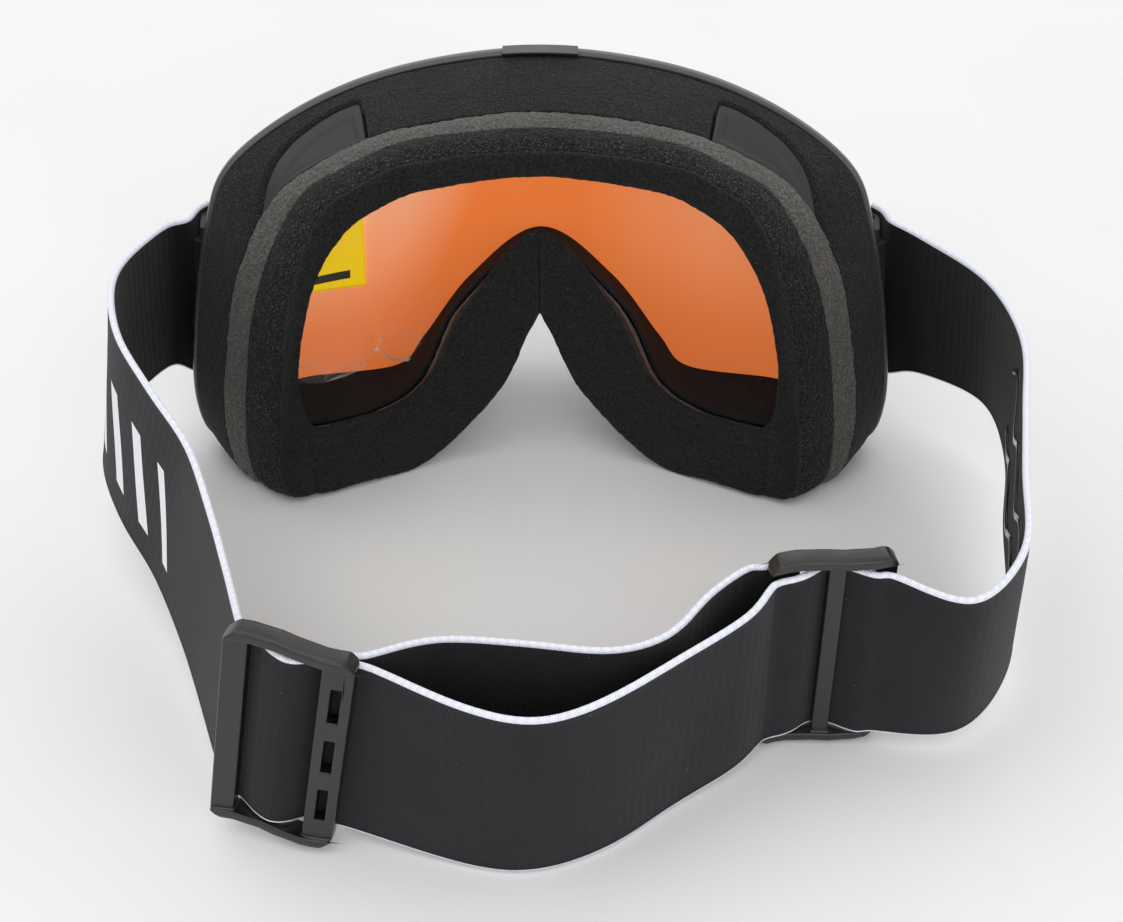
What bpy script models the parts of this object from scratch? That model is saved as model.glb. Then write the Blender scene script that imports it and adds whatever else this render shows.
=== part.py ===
"""Ski goggles as separate bodies, metres, +Z up.

Lens faces +Y, wearer's right is +X.  The goggles stand on the frame's lower
corners and the cheek foam, with the strap laid out behind them on the floor.
All tables are in millimetres in the design frame; SHIFT centres the result.
"""
import bpy
import bmesh
import math
from mathutils import Vector, Matrix
from mathutils.geometry import tessellate_polygon

MM = 0.001
SHIFT = Vector((-4.9, 51.57, 0.06))       # design frame -> bottom centre at the origin
GAP = 0.3                               # clearance between neighbouring bodies

LENS_R = 125.0                          # wrap radius of the rim
RIM_Y = 35.0                            # rim depth at the centre line
LIP = 2.8                               # rim lip depth
SEAT = 1.3                              # seat of the outer lens behind the lip
FOAM_T = 3.0                            # vent foam thickness
INNER_R = 121.0                         # inner lens radius
INNER_Y = 30.0                          # inner lens, wearer's side, centre line
INNER_T = 1.0
OUTER_T = 1.2
FLEECE_T = 1.3

STRAP_T = 1.6                           # elastic webbing
HALF_W = 24.0                           # half of the 48 mm webbing width

# Half outlines, right side, from the top centre round to the nose apex.
RIM = [(0, 99), (32, 96.8), (57, 91.5), (76.5, 82), (83.5, 68), (89.3, 42), (91.8, 18),
       (88.2, 2.6), (74, 0.6), (52, 1.5), (31, 9), (15, 28), (0, 39)]
FLANGE = [(0, 15, 93.4), (32, 11, 91.3), (50, 6, 86.5), (64, 0, 79), (74.5, -6, 62.5),
          (80, -10, 42), (83.3, -13.5, 18), (80, -16.5, 2.2), (68, -14, 1), (48, -9, 1.5),
          (30, -3, 6), (13, 4, 26), (0, 7, 40)]
FOAM_MID = [(0, 8, 92.6), (30, 5, 91), (47, -0.5, 86.5), (58, -4.5, 80.5), (67, -9.5, 65.5),
            (73, -14, 46), (77, -17.5, 18), (75.5, -19.5, 2.6), (66, -19.5, 1.4),
            (48, -14, 1.5), (30, -7, 3.8), (12, -1, 24.5), (0, 2, 41.5)]
FACE_OUT = [(0, -1, 90.3), (30, -5, 89.6), (43, -10, 86), (51.5, -14, 80.5), (58.5, -18.5, 65),
            (63, -22.5, 45), (66.5, -25.5, 20), (66.5, -26.5, 4.6), (61, -25, 1.3),
            (46, -18.5, 1.0), (30.5, -11, 1.6), (10.5, -5, 21.5), (0, -3.5, 41)]
FACE_IN = [(0, -1.5, 84.2), (26, -5.5, 83), (38, -10, 80.5), (47, -14.5, 75), (54, -19.5, 64),
           (58.5, -23.5, 47), (59.5, -24.5, 32), (56.5, -23.5, 24.3), (49, -19, 23),
           (37, -12.5, 23.5), (27, -8.5, 32), (18, -5.5, 50), (0, -2, 70)]
FLANGE_IN = [(0, 15, 84), (28, 11, 83), (44, 6, 79), (55, 0, 72), (64, -5.5, 60),
             (69.5, -9.5, 44), (72, -12, 24), (68, -12.5, 15), (58, -8.5, 12),
             (44, -2.5, 12.5), (32, 1.5, 20), (21, 5, 42), (0, 8.5, 58)]
LENS_OPEN = [(0, 88), (32, 86), (55, 80), (68, 71), (75, 58), (79, 40), (79.5, 22),
             (75, 15), (64, 13.2), (40.5, 8.8), (32, 18), (18.5, 36), (0, 50)]
SEG = [5, 4, 3, 3, 3, 3, 3, 3, 3, 3, 3, 3]      # samples between those points

# Vent windows of the shell: sample ranges on one half, top and bottom.
VENTS = [(1, 3), (4, 6), (7, 9), (27, 29), (30, 32)]
# Brow pads: first sample and how far across the wall the foam is cut back.
PAD_FIRST = 7
PAD_CUT = [0.40, 0.36, 0.35, 0.38, 0.46, 0.60, 0.80]

# Strap sliders: 27 x 54.5 mm three-bar ladder, centre, length and width axes.
SL_A = (Vector((-50.5, -128.8, 29.2)), Vector((0.968, -0.195, -0.161)),
        Vector((0.178, 0.076, 0.981)))
SL_B = (Vector((62.8, -102.4, 27.6)), Vector((-0.992, -0.128, -0.015)),
        Vector((-0.020, 0.041, 0.999)))
SL_HALF = (13.5, 27.25)
SL_RAIL = 24.75                          # inner height of the windows / 2
SL_A_LINES = [-13.5, -11.0, -8.5, -2.5, 1.1, 7.0, 9.2, 11.4, 13.5]
SL_U_LINES = [-27.25, -24.75, -19.2, -9.8, -4.7, 4.7, 9.8, 19.2, 24.75, 27.25]
SL_F_LINES = [-2.4, -1.5, 0.3, 1.5, 2.4]
SL_WAVE = 0.9                            # S-curve of the ladder in plan

# Strap clips turn on a steel pin held by two lugs on the rim's side.
PIN_TOP = Vector((84.0, 11.2, 67.3))     # right side, mirrored for the left
PIN_BOT = Vector((88.5, 10.5, 19.3))
PIN_R = 1.0
HOLE_R = 1.35
KNUCKLE_R = 2.6
CLIP_LEN = 6.8
CLIP_T = 2.4
CLIP_SWING = math.radians(22.0)          # the clip points outward, along the strap

# Strap edges, (top), (bottom), every other 20 mm or so along the webbing.
LEFT_EDGES = [((-94, -1.5, 70.6), (-100.6, 4.2, 22.0)), ((-99.6, -23.9, 72.5), (-107.4, -16.9, 25)),
              ((-95.2, -44.7, 71), (-107.8, -38, 25)), ((-85.3, -60, 66), (-100.5, -55, 20.5)),
              ((-74.6, -74.3, 61), (-90, -70, 15.5)), ((-67.5, -91, 56.5), (-81.5, -86, 11)),
              ((-62.5, -104, 53.5), (-76, -98.5, 7.5))]
BACK_EDGES = [((-19, -118.8, 48.5), (-22, -119.5, 0.8)), ((-1, -119.7, 48.2), (-1.5, -120, 0.6)),
              ((16, -121.5, 48.2), (16, -121.5, 0.6)), ((28, -117, 48.4), (28, -116.5, 0.6)),
              ((36.5, -107, 49.5), (36, -107, 1.6)), ((44.5, -101, 51), (45, -101.5, 3.0))]
RIGHT_EDGES = [((96.7, -2.7, 68.4), (102.6, 4.8, 20.1)), ((107, -22.9, 69.9), (116.1, -11.8, 23.9)),
               ((110.9, -44.3, 68.7), (118, -33.3, 22.5)), ((108.4, -62.6, 63.8), (114.6, -52, 17.4)),
               ((105.2, -80.8, 59.3), (112.3, -71.5, 12.7)), ((102, -99, 55.2), (108, -90.8, 8.3)),
               ((89.6, -110.7, 51.7), (94.9, -105.3, 4.2))]
FRONT_EDGES = [((44.5, -113, 50), (44, -114.5, 2.2)), ((32, -122, 48.5), (30, -123.5, 0.8)),
               ((14, -135, 48.2), (16, -134, 0.6)), ((0.5, -139.5, 48.2), (1, -139.8, 0.6)),
               ((-14, -135.5, 48.3), (-14, -138.5, 0.6))]
GRIPS = [(11.0, 1.0), (-11.0, -1.0)]     # height on the strap and phase of each wave


# ---------------------------------------------------------------- helpers
def clear_scene():
    for ob in list(bpy.data.objects):
        bpy.data.objects.remove(ob, do_unlink=True)


def material(name, colour, rough, metal=0.0):
    mat = bpy.data.materials.new(name)
    mat.use_nodes = True
    bsdf = mat.node_tree.nodes['Principled BSDF']
    bsdf.inputs['Base Color'].default_value = (colour[0], colour[1], colour[2], 1.0)
    bsdf.inputs['Roughness'].default_value = rough
    bsdf.inputs['Metallic'].default_value = metal
    return mat


def add_body(name, verts, faces, mat, origin=None):
    """Verts in design millimetres.  Origin is the joint point, if there is one."""
    base = Vector((0, 0, 0)) if origin is None else (Vector(origin) + SHIFT) * MM
    mesh = bpy.data.meshes.new(name)
    mesh.from_pydata([tuple((Vector(v) + SHIFT) * MM - base) for v in verts], [], faces)
    bm = bmesh.new()
    bm.from_mesh(mesh)
    bmesh.ops.remove_doubles(bm, verts=bm.verts, dist=1e-7)
    bmesh.ops.recalc_face_normals(bm, faces=bm.faces)
    bmesh.ops.triangulate(bm, faces=bm.faces)
    if bm.calc_volume(signed=True) < 0:
        bmesh.ops.reverse_faces(bm, faces=bm.faces)
    bm.to_mesh(mesh)
    bm.free()
    mesh.materials.append(mat)
    ob = bpy.data.objects.new(name, mesh)
    ob.location = base
    bpy.context.scene.collection.objects.link(ob)
    return ob


def catmull(p0, p1, p2, p3, t):
    t2, t3 = t * t, t * t * t
    return 0.5 * ((2 * p1) + (p2 - p0) * t + (2 * p0 - 5 * p1 + 4 * p2 - p3) * t2
                  + (3 * p1 - p0 - 3 * p2 + p3) * t3)


def rim_y(x, centre=RIM_Y, radius=LENS_R):
    return centre - (radius - math.sqrt(radius * radius - x * x))


def closed_loop(half):
    """Mirror a half outline and sample it as a smooth closed loop."""
    pts = [Vector(p) for p in half]
    ring = pts + [Vector((-p.x, p.y, p.z)) for p in reversed(pts[1:-1])]
    counts = SEG + list(reversed(SEG))
    n = len(ring)
    out = []
    for k in range(n):
        q = [ring[(k + j) % n] for j in (-1, 0, 1, 2)]
        for s in range(counts[k]):
            out.append(catmull(q[0], q[1], q[2], q[3], s / counts[k]))
    return out


def inward(loop):
    """Unit normals into the outline, in the front view."""
    n = len(loop)
    out = []
    for i in range(n):
        d = loop[(i + 1) % n] - loop[i - 1]
        v = Vector((d.z, 0, -d.x))
        out.append(v.normalized())
    return out


def inset(loop, dist, dy=0.0):
    normals = inward(loop)
    return [p + m * dist + Vector((0, dy, 0)) for p, m in zip(loop, normals)]


def on_wrap(loop, dist, dy):
    """Inset that stays on the rim's cylinder."""
    return [Vector((p.x, rim_y(p.x) + dy, p.z)) for p in inset(loop, dist)]


def foam_depth(i, half):
    """Cover foam is thick over the brow and sides and thin under the lens."""
    j = abs((i + half) % (2 * half) - half)
    return FOAM_T if j <= sum(SEG[:7]) else 1.5


def lerp_loop(a, b, t):
    return [p.lerp(q, t) for p, q in zip(a, b)]


def toward(a, b, dist):
    """Every point of a moved towards b by a fixed distance."""
    return [p + (q - p).normalized() * dist for p, q in zip(a, b)]


def ring_body(sections, holes=()):
    """Closed ring: sections is a list of loops, joined in order and closed."""
    m = len(sections)
    n = len(sections[0])
    verts = [sections[j][i] for i in range(n) for j in range(m)]
    faces = []
    skip = set()
    for first, last, inner, outer in holes:
        for i in range(first, last):
            skip.add((i % n, inner))
            skip.add((i % n, outer))
    for i in range(n):
        for j in range(m):
            if (i, j) in skip:
                continue
            a, b = i * m + j, i * m + (j + 1) % m
            c, d = ((i + 1) % n) * m + (j + 1) % m, ((i + 1) % n) * m + j
            faces.append((a, b, c, d))
    for first, last, inner, outer in holes:
        lo, hi = (inner, outer + 1), (inner + 1, outer)
        for i in range(first, last):
            for u, v in (lo, hi):
                a, b = (i % n) * m, ((i + 1) % n) * m
                faces.append((a + u, a + v, b + v, b + u))
        for i in (first, last):
            a = (i % n) * m
            faces.append((a + inner, a + inner + 1, a + outer, a + outer + 1))
    return verts, faces


def strip_body(sections):
    """Open strip with end caps: sections[j][i], closed in j."""
    m = len(sections)
    n = len(sections[0])
    verts = [sections[j][i] for i in range(n) for j in range(m)]
    faces = []
    for i in range(n - 1):
        for j in range(m):
            a, b = i * m + j, i * m + (j + 1) % m
            faces.append((a, b, b + m, a + m))
    faces.append(tuple(range(m)))
    faces.append(tuple((n - 1) * m + j for j in range(m)))
    return verts, faces


def slab(front, back):
    """Solid between two equal grids front[i][j] and back[i][j]."""
    n, m = len(front), len(front[0])
    verts = [p for row in front for p in row] + [p for row in back for p in row]
    off = n * m
    faces = []
    for i in range(n - 1):
        for j in range(m - 1):
            a = i * m + j
            faces.append((a, a + 1, a + m + 1, a + m))
            faces.append((off + a, off + a + m, off + a + m + 1, off + a + 1))
    for i in range(n - 1):
        for j in (0, m - 1):
            a = i * m + j
            faces.append((a, a + m, off + a + m, off + a))
    for j in range(m - 1):
        for i in (0, n - 1):
            a = i * m + j
            faces.append((a, a + 1, off + a + 1, off + a))
    return verts, faces


def resample(points, count):
    lengths = [0.0]
    for a, b in zip(points, points[1:]):
        lengths.append(lengths[-1] + (b - a).length)
    out = []
    k = 0
    for s in range(count):
        want = lengths[-1] * s / (count - 1)
        while k < len(points) - 2 and lengths[k + 1] < want:
            k += 1
        span = lengths[k + 1] - lengths[k]
        out.append(points[k].lerp(points[k + 1], (want - lengths[k]) / span))
    return out


# ---------------------------------------------------------------- frame
def frame_loops():
    rim = closed_loop([(x, rim_y(x), z) for x, z in RIM])
    hole = closed_loop([(x, rim_y(x, INNER_Y, INNER_R), z) for x, z in LENS_OPEN])
    return (rim, hole, closed_loop(FLANGE), closed_loop(FLANGE_IN), closed_loop(FOAM_MID),
            closed_loop(FACE_OUT), closed_loop(FACE_IN))


def lens_grid(loop, centre, radius, thick, rows=4):
    """Cylindrical lens filling a symmetric outline, as a slab."""
    half = sum(SEG)
    columns = (half + 1) // 2
    top = [loop[i] for i in range(0, columns)]
    low = [loop[i] for i in range(half, half - columns, -1)]
    grids = []
    for depth in (0.0, thick):
        grid = []
        for k in range(-columns + 1, columns):
            a, b = top[abs(k)], low[abs(k)]
            sign = -1 if k < 0 else 1
            row = []
            for r in range(rows + 1):
                p = a.lerp(b, r / rows)
                y = rim_y(p.x, centre + depth, radius + depth)
                row.append(Vector((p.x * sign, y, p.z)))
            grid.append(row)
        grids.append(grid)
    return slab(grids[0], grids[1])


def build_frame(mats):
    rim, hole, flange, flange_in, mid, face_out, face_in = frame_loops()
    n = len(rim)
    ledge = [Vector((p.x, rim_y(p.x, INNER_Y, INNER_R) - GAP, p.z)) for p in hole]
    pocket = inset(hole, -2.6)
    pocket_y = [Vector((p.x, rim_y(p.x, INNER_Y, INNER_R) - GAP, p.z)) for p in pocket]
    normals = inward(rim)
    under = [p + normals[i] * (foam_depth(i, n // 2) + 0.6) for i, p in enumerate(rim)]
    flange_under = [p + (q - p).normalized() * (foam_depth(i, n // 2) + 2.2)
                    for i, (p, q) in enumerate(zip(flange, flange_in))]
    wide, slim = on_wrap(rim, 5.0, SEAT), on_wrap(rim, 3.7, SEAT)
    seat_in = [wide[i] if foam_depth(i, n // 2) == FOAM_T else slim[i] for i in range(n)]
    sections = [
        inset(rim, 0.0, LIP), on_wrap(rim, 1.2, LIP), on_wrap(rim, 1.2, SEAT),
        seat_in,
        pocket_y, ledge,
        lerp_loop(ledge, flange_in, 0.30), lerp_loop(ledge, flange_in, 0.66), flange_in,
        flange_under, lerp_loop(flange_under, under, 0.34), lerp_loop(flange_under, under, 0.70),
        under, inset(rim, 0.0)]
    holes = []
    for first, last in VENTS:
        holes.append((first, last, 6, 10))
        holes.append((n - last, n - first, 6, 10))
    verts, faces = ring_body(sections, holes)
    add_body('frame_shell', verts, faces, mats['tpu'])

    outline = inset(rim, 1.5)
    verts, faces = lens_grid(outline, RIM_Y + SEAT + GAP, LENS_R, OUTER_T)
    add_body('outer_lens', verts, faces, mats['outer'])
    verts, faces = lens_grid(inset(hole, -1.9), INNER_Y, INNER_R, INNER_T)
    add_body('inner_lens', verts, faces, mats['inner'])
    low_y = INNER_Y + INNER_T + GAP
    parts = []
    for loop, front in ((inset(hole, -1.6), 0), (inset(rim, 6.4), 1), (inset(rim, 9.0), 1),
                        (inset(hole, 0.8), 0)):
        if front:
            parts.append([Vector((p.x, rim_y(p.x) + SEAT, p.z)) for p in loop])
        else:
            parts.append([Vector((p.x, rim_y(p.x, low_y, INNER_R + 1.0), p.z)) for p in loop])
    verts, faces = ring_body(parts)
    add_body('lens_spacer_gasket', verts, faces, mats['spacer'])

    build_vent_foam(mats, rim, flange)
    build_face_foam(mats, flange, flange_in, mid, face_out, face_in)
    build_badge(mats, rim)
    build_film(mats)
    return rim


def wall_point(rim, flange, i, t, depth, bulge):
    n = len(rim)
    if depth > 1.0:
        depth = foam_depth(i % n, n // 2) + 0.3
    a, b = rim[i % n], flange[i % n]
    p = a.lerp(b, t)
    d = rim[(i + 1) % n] - rim[(i - 1) % n]
    m = Vector((d.z, 0, -d.x)).normalized()
    return p + m * (depth - bulge * math.sin(math.pi * t))


def foam_strip(rim, flange, indices, reach, under_cut):
    """Cover foam: outer face at t = 0..reach(i), FOAM_T thick."""
    rows = []
    for depth, order in ((0.3, (0, 1, 2, 3)), (0.3 + FOAM_T, (3, 2, 1, 0))):
        for j in order:
            row = []
            for i in indices:
                end = reach(i) - (under_cut if depth > 1.0 else 0.0)
                t = 0.03 + (end - 0.03) * j / 3.0
                row.append(wall_point(rim, flange, i, t, depth, 0.5))
            rows.append(row)
    return strip_body(rows)


def build_vent_foam(mats, rim, flange):
    n = len(rim)
    half = sum(SEG)
    cut = {}
    for k, c in enumerate(PAD_CUT):
        cut[PAD_FIRST + k] = c
        cut[-(PAD_FIRST + k)] = c

    def reach(i):
        j = (i + half) % n - half
        return cut.get(j, 0.985)

    side = sum(SEG[:7]) - 1
    verts, faces = foam_strip(rim, flange, list(range(-side, side + 1)), reach, 0.05)
    add_body('vent_foam_upper', verts, faces, mats['cover'])
    low = list(range(sum(SEG[:8]), sum(SEG[:11])))
    verts, faces = foam_strip(rim, flange, low, lambda i: 0.985, 0.16)
    add_body('vent_foam_lower_right', verts, faces, mats['cover'])
    verts, faces = foam_strip(rim, flange, [n - i for i in low], lambda i: 0.985, 0.16)
    add_body('vent_foam_lower_left', verts, faces, mats['cover'])
    for side_name, sign in (('right', 1), ('left', -1)):
        rows = []
        idx = [PAD_FIRST + k for k in range(len(PAD_CUT))]
        for depth, order in ((0.5, (0, 1, 2)), (0.3 + FOAM_T, (2, 1, 0))):
            for j in order:
                row = []
                for k, i in enumerate(idx):
                    t0 = PAD_CUT[k] + 0.035
                    t = t0 + (0.98 - t0) * j / 2.0
                    row.append(wall_point(rim, flange, sign * i, t, depth, 0.5))
                rows.append(row)
        verts, faces = strip_body(rows)
        add_body('brow_pad_' + side_name, verts, faces, mats['pad'])


def build_face_foam(mats, flange, flange_in, mid, face_out, face_in):
    mid_in = lerp_loop(flange_in, face_in, 0.42)
    g0, g0i = toward(flange, mid, 0.4), toward(flange_in, face_in, 0.4)
    g1, g1i = toward(mid, flange, 0.15), toward(mid_in, flange_in, 0.15)
    swell = inset(lerp_loop(g0, g1, 0.5), -0.4)
    verts, faces = ring_body([g0, swell, g1, g1i, lerp_loop(g1i, g0i, 0.5), g0i])
    add_body('face_foam_base', verts, faces, mats['grey'])
    b0, b0i = toward(mid, face_out, 0.15), toward(mid_in, face_in, 0.15)
    b1 = toward(face_out, mid, FLEECE_T + GAP)
    b1i = toward(face_in, mid_in, FLEECE_T + GAP)
    bulge = inset(lerp_loop(b0, b1, 0.55), -0.9)
    verts, faces = ring_body([b0, bulge, b1, lerp_loop(b1, b1i, 0.5), b1i,
                              lerp_loop(b1i, b0i, 0.5), b0i])
    add_body('face_foam_top', verts, faces, mats['black'])
    f0, f0i = toward(face_out, mid, FLEECE_T), toward(face_in, mid_in, FLEECE_T)
    crown = [p.lerp(q, 0.5) + Vector((0, -0.5, 0)) for p, q in zip(face_out, face_in)]
    floor_mid = [p.lerp(q, 0.5) + Vector((0, 0.02, 0)) for p, q in zip(f0, f0i)]
    verts, faces = ring_body([f0, face_out, crown, face_in, f0i, floor_mid])
    add_body('face_fleece', verts, faces, mats['fleece'])


def build_badge(mats, rim):
    """Blank plate bent over the top of the rim."""
    rows = []
    for z, y in ((0.3, -2.2), (0.3, 2.4), (1.1, 2.4), (1.1, -2.2)):
        row = []
        for k in range(9):
            x = -9.6 + 2.4 * k
            row.append(Vector((x, rim_y(x) + y, 99.0 + z - 2.2 * (x / 32.0) ** 2)))
        rows.append(row)
    verts, faces = strip_body(rows)
    add_body('brow_plate', verts, faces, mats['badge'])


def film_patch(corners, depth, thick, columns, rows):
    grids = []
    (xa, za), (xb, zb), (xc, zc), (xd, zd) = corners
    for d in (0.0, thick):
        grid = []
        for i in range(columns + 1):
            u = i / columns
            row = []
            for j in range(rows + 1):
                v = j / rows
                x = (xa * (1 - u) + xb * u) * (1 - v) + (xd * (1 - u) + xc * u) * v
                z = (za * (1 - u) + zb * u) * (1 - v) + (zd * (1 - u) + zc * u) * v
                row.append(Vector((x, rim_y(x, INNER_Y - depth - d, INNER_R - depth - d), z)))
            grid.append(row)
        grids.append(grid)
    return slab(grids[0], grids[1])


def build_film(mats):
    film = [(-60, 73), (-19, 81), (-34, 23), (-73, 24)]
    verts, faces = film_patch(film, GAP, 0.25, 14, 6)
    add_body('protective_film', verts, faces, mats['film'])
    label = [(-63, 63), (-46.5, 62), (-47.4, 38.5), (-65.5, 41.5)]
    verts, faces = film_patch(label, 2 * GAP + 0.25, 0.25, 8, 4)
    add_body('film_label', verts, faces, mats['label'])


# ---------------------------------------------------------------- sliders and strap
def slider_axes(which):
    centre, along, up = which
    along = along.normalized()
    up = (up - along * up.dot(along)).normalized()
    return centre, along, up, along.cross(up)


def slider_point(which, a, f, u):
    centre, along, up, face = slider_axes(which)
    wave = SL_WAVE * math.sin(math.pi * a / SL_HALF[0])
    return centre + along * a + up * u + face * (f + wave)


def slider_cell(ia, iu, jf):
    a = 0.5 * (SL_A_LINES[ia] + SL_A_LINES[ia + 1])
    u = abs(0.5 * (SL_U_LINES[iu] + SL_U_LINES[iu + 1]))
    if u > SL_RAIL:
        return True
    if jf in (0, 3):
        return False
    if a < -8.5:
        return True
    if -2.5 < a < 1.1:
        return jf == 1
    if a > 7.0:
        slot = 9.2 < a < 11.4 and (u < 4.7 or 9.8 < u < 19.2)
        return not slot
    return False


def build_slider(name, which, mat):
    na, nu, nf = len(SL_A_LINES), len(SL_U_LINES), len(SL_F_LINES)
    index = {}
    verts = []

    def vertex(i, j, k):
        if (i, j, k) not in index:
            a, u, f = SL_A_LINES[i], SL_U_LINES[j], SL_F_LINES[k]
            if abs(a) > 13.4 and abs(u) > 27.0:
                a, u = a * 0.90, u * 0.965
            if abs(u) > 27.0 and k in (0, nf - 1):
                u = u * 0.985
            index[(i, j, k)] = len(verts)
            verts.append(slider_point(which, a, f, u))
        return index[(i, j, k)]

    def solid(i, j, k):
        if not (0 <= i < na - 1 and 0 <= j < nu - 1 and 0 <= k < nf - 1):
            return False
        return slider_cell(i, j, k)

    faces = []
    for i in range(na - 1):
        for j in range(nu - 1):
            for k in range(nf - 1):
                if not solid(i, j, k):
                    continue
                for axis in range(3):
                    for step in (0, 1):
                        nb = [i, j, k]
                        nb[axis] += 1 if step else -1
                        if solid(*nb):
                            continue
                        quad = []
                        for p, q in ((0, 0), (1, 0), (1, 1), (0, 1)):
                            at = [i, j, k]
                            others = [x for x in range(3) if x != axis]
                            at[axis] += step
                            at[others[0]] += p
                            at[others[1]] += q
                            quad.append(vertex(*at))
                        faces.append(tuple(quad))
    add_body(name, verts, faces, mat, origin=which[0])


def ribbon_frames(stations):
    """Centre-surface normals of a list of (top, bottom) points."""
    out = []
    n = len(stations)
    for k in range(n):
        before, after = stations[max(k - 1, 0)], stations[min(k + 1, n - 1)]
        here = stations[k]
        rung = (here[0] - here[1]).normalized()
        mitre = 1.0
        if 0 < k < n - 1:
            d1 = ((here[0] + here[1]) - (before[0] + before[1])).normalized()
            d2 = ((after[0] + after[1]) - (here[0] + here[1])).normalized()
            mitre = 1.0 / max(math.sqrt(max(0.5 * (1 + d1.dot(d2)), 0.0)), 0.75)
            along = (d1 + d2).normalized()
        else:
            along = ((after[0] + after[1]) - (before[0] + before[1])).normalized()
        out.append((along.cross(rung).normalized(), mitre))
    return out


def smooth_run(stations, sub):
    out = []
    n = len(stations)
    for k in range(n - 1):
        q = [stations[min(max(k + j, 0), n - 1)] for j in (-1, 0, 1, 2)]
        for s in range(sub):
            t = s / sub
            pair = tuple(catmull(q[0][e], q[1][e], q[2][e], q[3][e], t) for e in (0, 1))
            mid = 0.5 * (pair[0] + pair[1])
            half = (pair[0] - pair[1]).normalized() * HALF_W
            out.append((mid + half, mid - half))
    out.append(stations[-1])
    return out


def local_run(which, points):
    return [(slider_point(which, a, f, HALF_W), slider_point(which, a, f, -HALF_W))
            for a, f in points]


def pin_axes(sign):
    top = Vector((PIN_TOP.x * sign, PIN_TOP.y, PIN_TOP.z))
    low = Vector((PIN_BOT.x * sign, PIN_BOT.y, PIN_BOT.z))
    axis = (top - low).normalized()
    out = Vector((sign, 0, 0))
    out = (out - axis * out.dot(axis)).normalized()
    fwd = axis.cross(out) * sign
    c, s = math.cos(CLIP_SWING), math.sin(CLIP_SWING)
    return 0.5 * (top + low), axis, out * c + fwd * s, fwd * c - out * s


def clip_run(sign):
    centre, axis, out, fwd = pin_axes(sign)
    pairs = []
    for back, lift in ((-3.4, 3.0), (0.2, 3.9), (3.8, 3.2), (7.0, 3.2)):
        p = centre + out * lift - fwd * back
        pairs.append((p + axis * HALF_W, p - axis * HALF_W))
    return pairs


def vectors(edges):
    return [(Vector(a), Vector(b)) for a, b in edges]


def strap_paths():
    """Stations of both webbings, and where their free side run lies."""
    thru_in = [(-11.0, -2.6), (-8.3, -2.6), (-2.9, 1.4), (1.5, 1.4)]
    a_in = local_run(SL_A, thru_in + [(7.6, -4.5), (12.5, -4.5)])
    b_in = local_run(SL_B, thru_in + [(6.7, -2.6), (12.5, -2.6)])
    a_end = local_run(SL_A, [(13.8, -2.6), (8.2, -2.6)])
    b_end = local_run(SL_B, [(13.8, 2.6), (8.2, 2.6)])

    clip = clip_run(-1)
    side = smooth_run([clip[2], clip[3]] + vectors(LEFT_EDGES) + [a_in[0], a_in[1]], 4)
    side = clip[:2] + side[:-5]
    back = smooth_run([a_in[-2], a_in[-1]] + vectors(BACK_EDGES) + b_end, 3)
    left = side + a_in[:-1] + back[3:-3] + [b_end[-1]]

    clip = clip_run(1)
    side_r = smooth_run([clip[2], clip[3]] + vectors(RIGHT_EDGES) + [b_in[0], b_in[1]], 4)
    side_r = clip[:2] + side_r[:-5]
    front = smooth_run([b_in[-2], b_in[-1]] + vectors(FRONT_EDGES) + a_end, 3)
    right = side_r + b_in[:-1] + front[3:-3] + [a_end[-1]]
    return left, right, side, side_r


def build_strap(name, stations, mat):
    frames = ribbon_frames(stations)
    front, back = [], []
    for (top, low), (normal, mitre) in zip(stations, frames):
        off = normal * (STRAP_T / 2 * mitre)
        front.append([low.lerp(top, w) + off for w in (0, 0.5, 1)])
        back.append([low.lerp(top, w) - off for w in (0, 0.5, 1)])
    verts, faces = slab(front, back)
    add_body(name, verts, faces, mat)


def build_grips(side_name, stations, sign, mat):
    """Raised silicone waves on the face of the strap that touches the helmet."""
    frames = ribbon_frames(stations)
    first, last = 9, len(stations) - 6
    for number, (height, phase) in enumerate(GRIPS):
        rows = [[], [], [], []]
        steps = 3 * (last - first)
        for s in range(steps + 1):
            pos = first + s / 3.0
            k = min(int(pos), len(stations) - 2)
            t = pos - k
            top = stations[k][0].lerp(stations[k + 1][0], t)
            low = stations[k][1].lerp(stations[k + 1][1], t)
            normal = frames[k][0].lerp(frames[k + 1][0], t).normalized() * sign
            w = height + phase * 4.0 * math.sin(s * 0.55)
            up = (top - low).normalized()
            p = 0.5 * (top + low) + up * w + normal * (STRAP_T / 2 + GAP)
            rows[0].append(p - up * 1.3)
            rows[1].append(p + up * 1.3)
            rows[2].append(p + up * 1.0 + normal * 0.6)
            rows[3].append(p - up * 1.0 + normal * 0.6)
        verts, faces = strip_body(rows)
        add_body('grip_wave_%s_%s' % (side_name, 'upper' if number == 0 else 'lower'),
                 verts, faces, mat)


# ---------------------------------------------------------------- strap clips
def hull(points):
    pts = sorted(set((round(x, 5), round(y, 5)) for x, y in points))
    chains = []
    for seq in (pts, list(reversed(pts))):
        chain = []
        for p in seq:
            while len(chain) > 1:
                (ax, ay), (bx, by) = chain[-2], chain[-1]
                if (bx - ax) * (p[1] - ay) - (by - ay) * (p[0] - ax) <= 0:
                    chain.pop()
                else:
                    break
            chain.append(p)
        chains.append(chain[:-1])
    return chains[0] + chains[1]


def circle(radius, count=16, start=0.0, sweep=2 * math.pi):
    ends = 0 if sweep >= 2 * math.pi - 1e-9 else 1
    return [(radius * math.cos(start + sweep * k / (count - ends)),
             radius * math.sin(start + sweep * k / (count - ends))) for k in range(count)]


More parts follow.
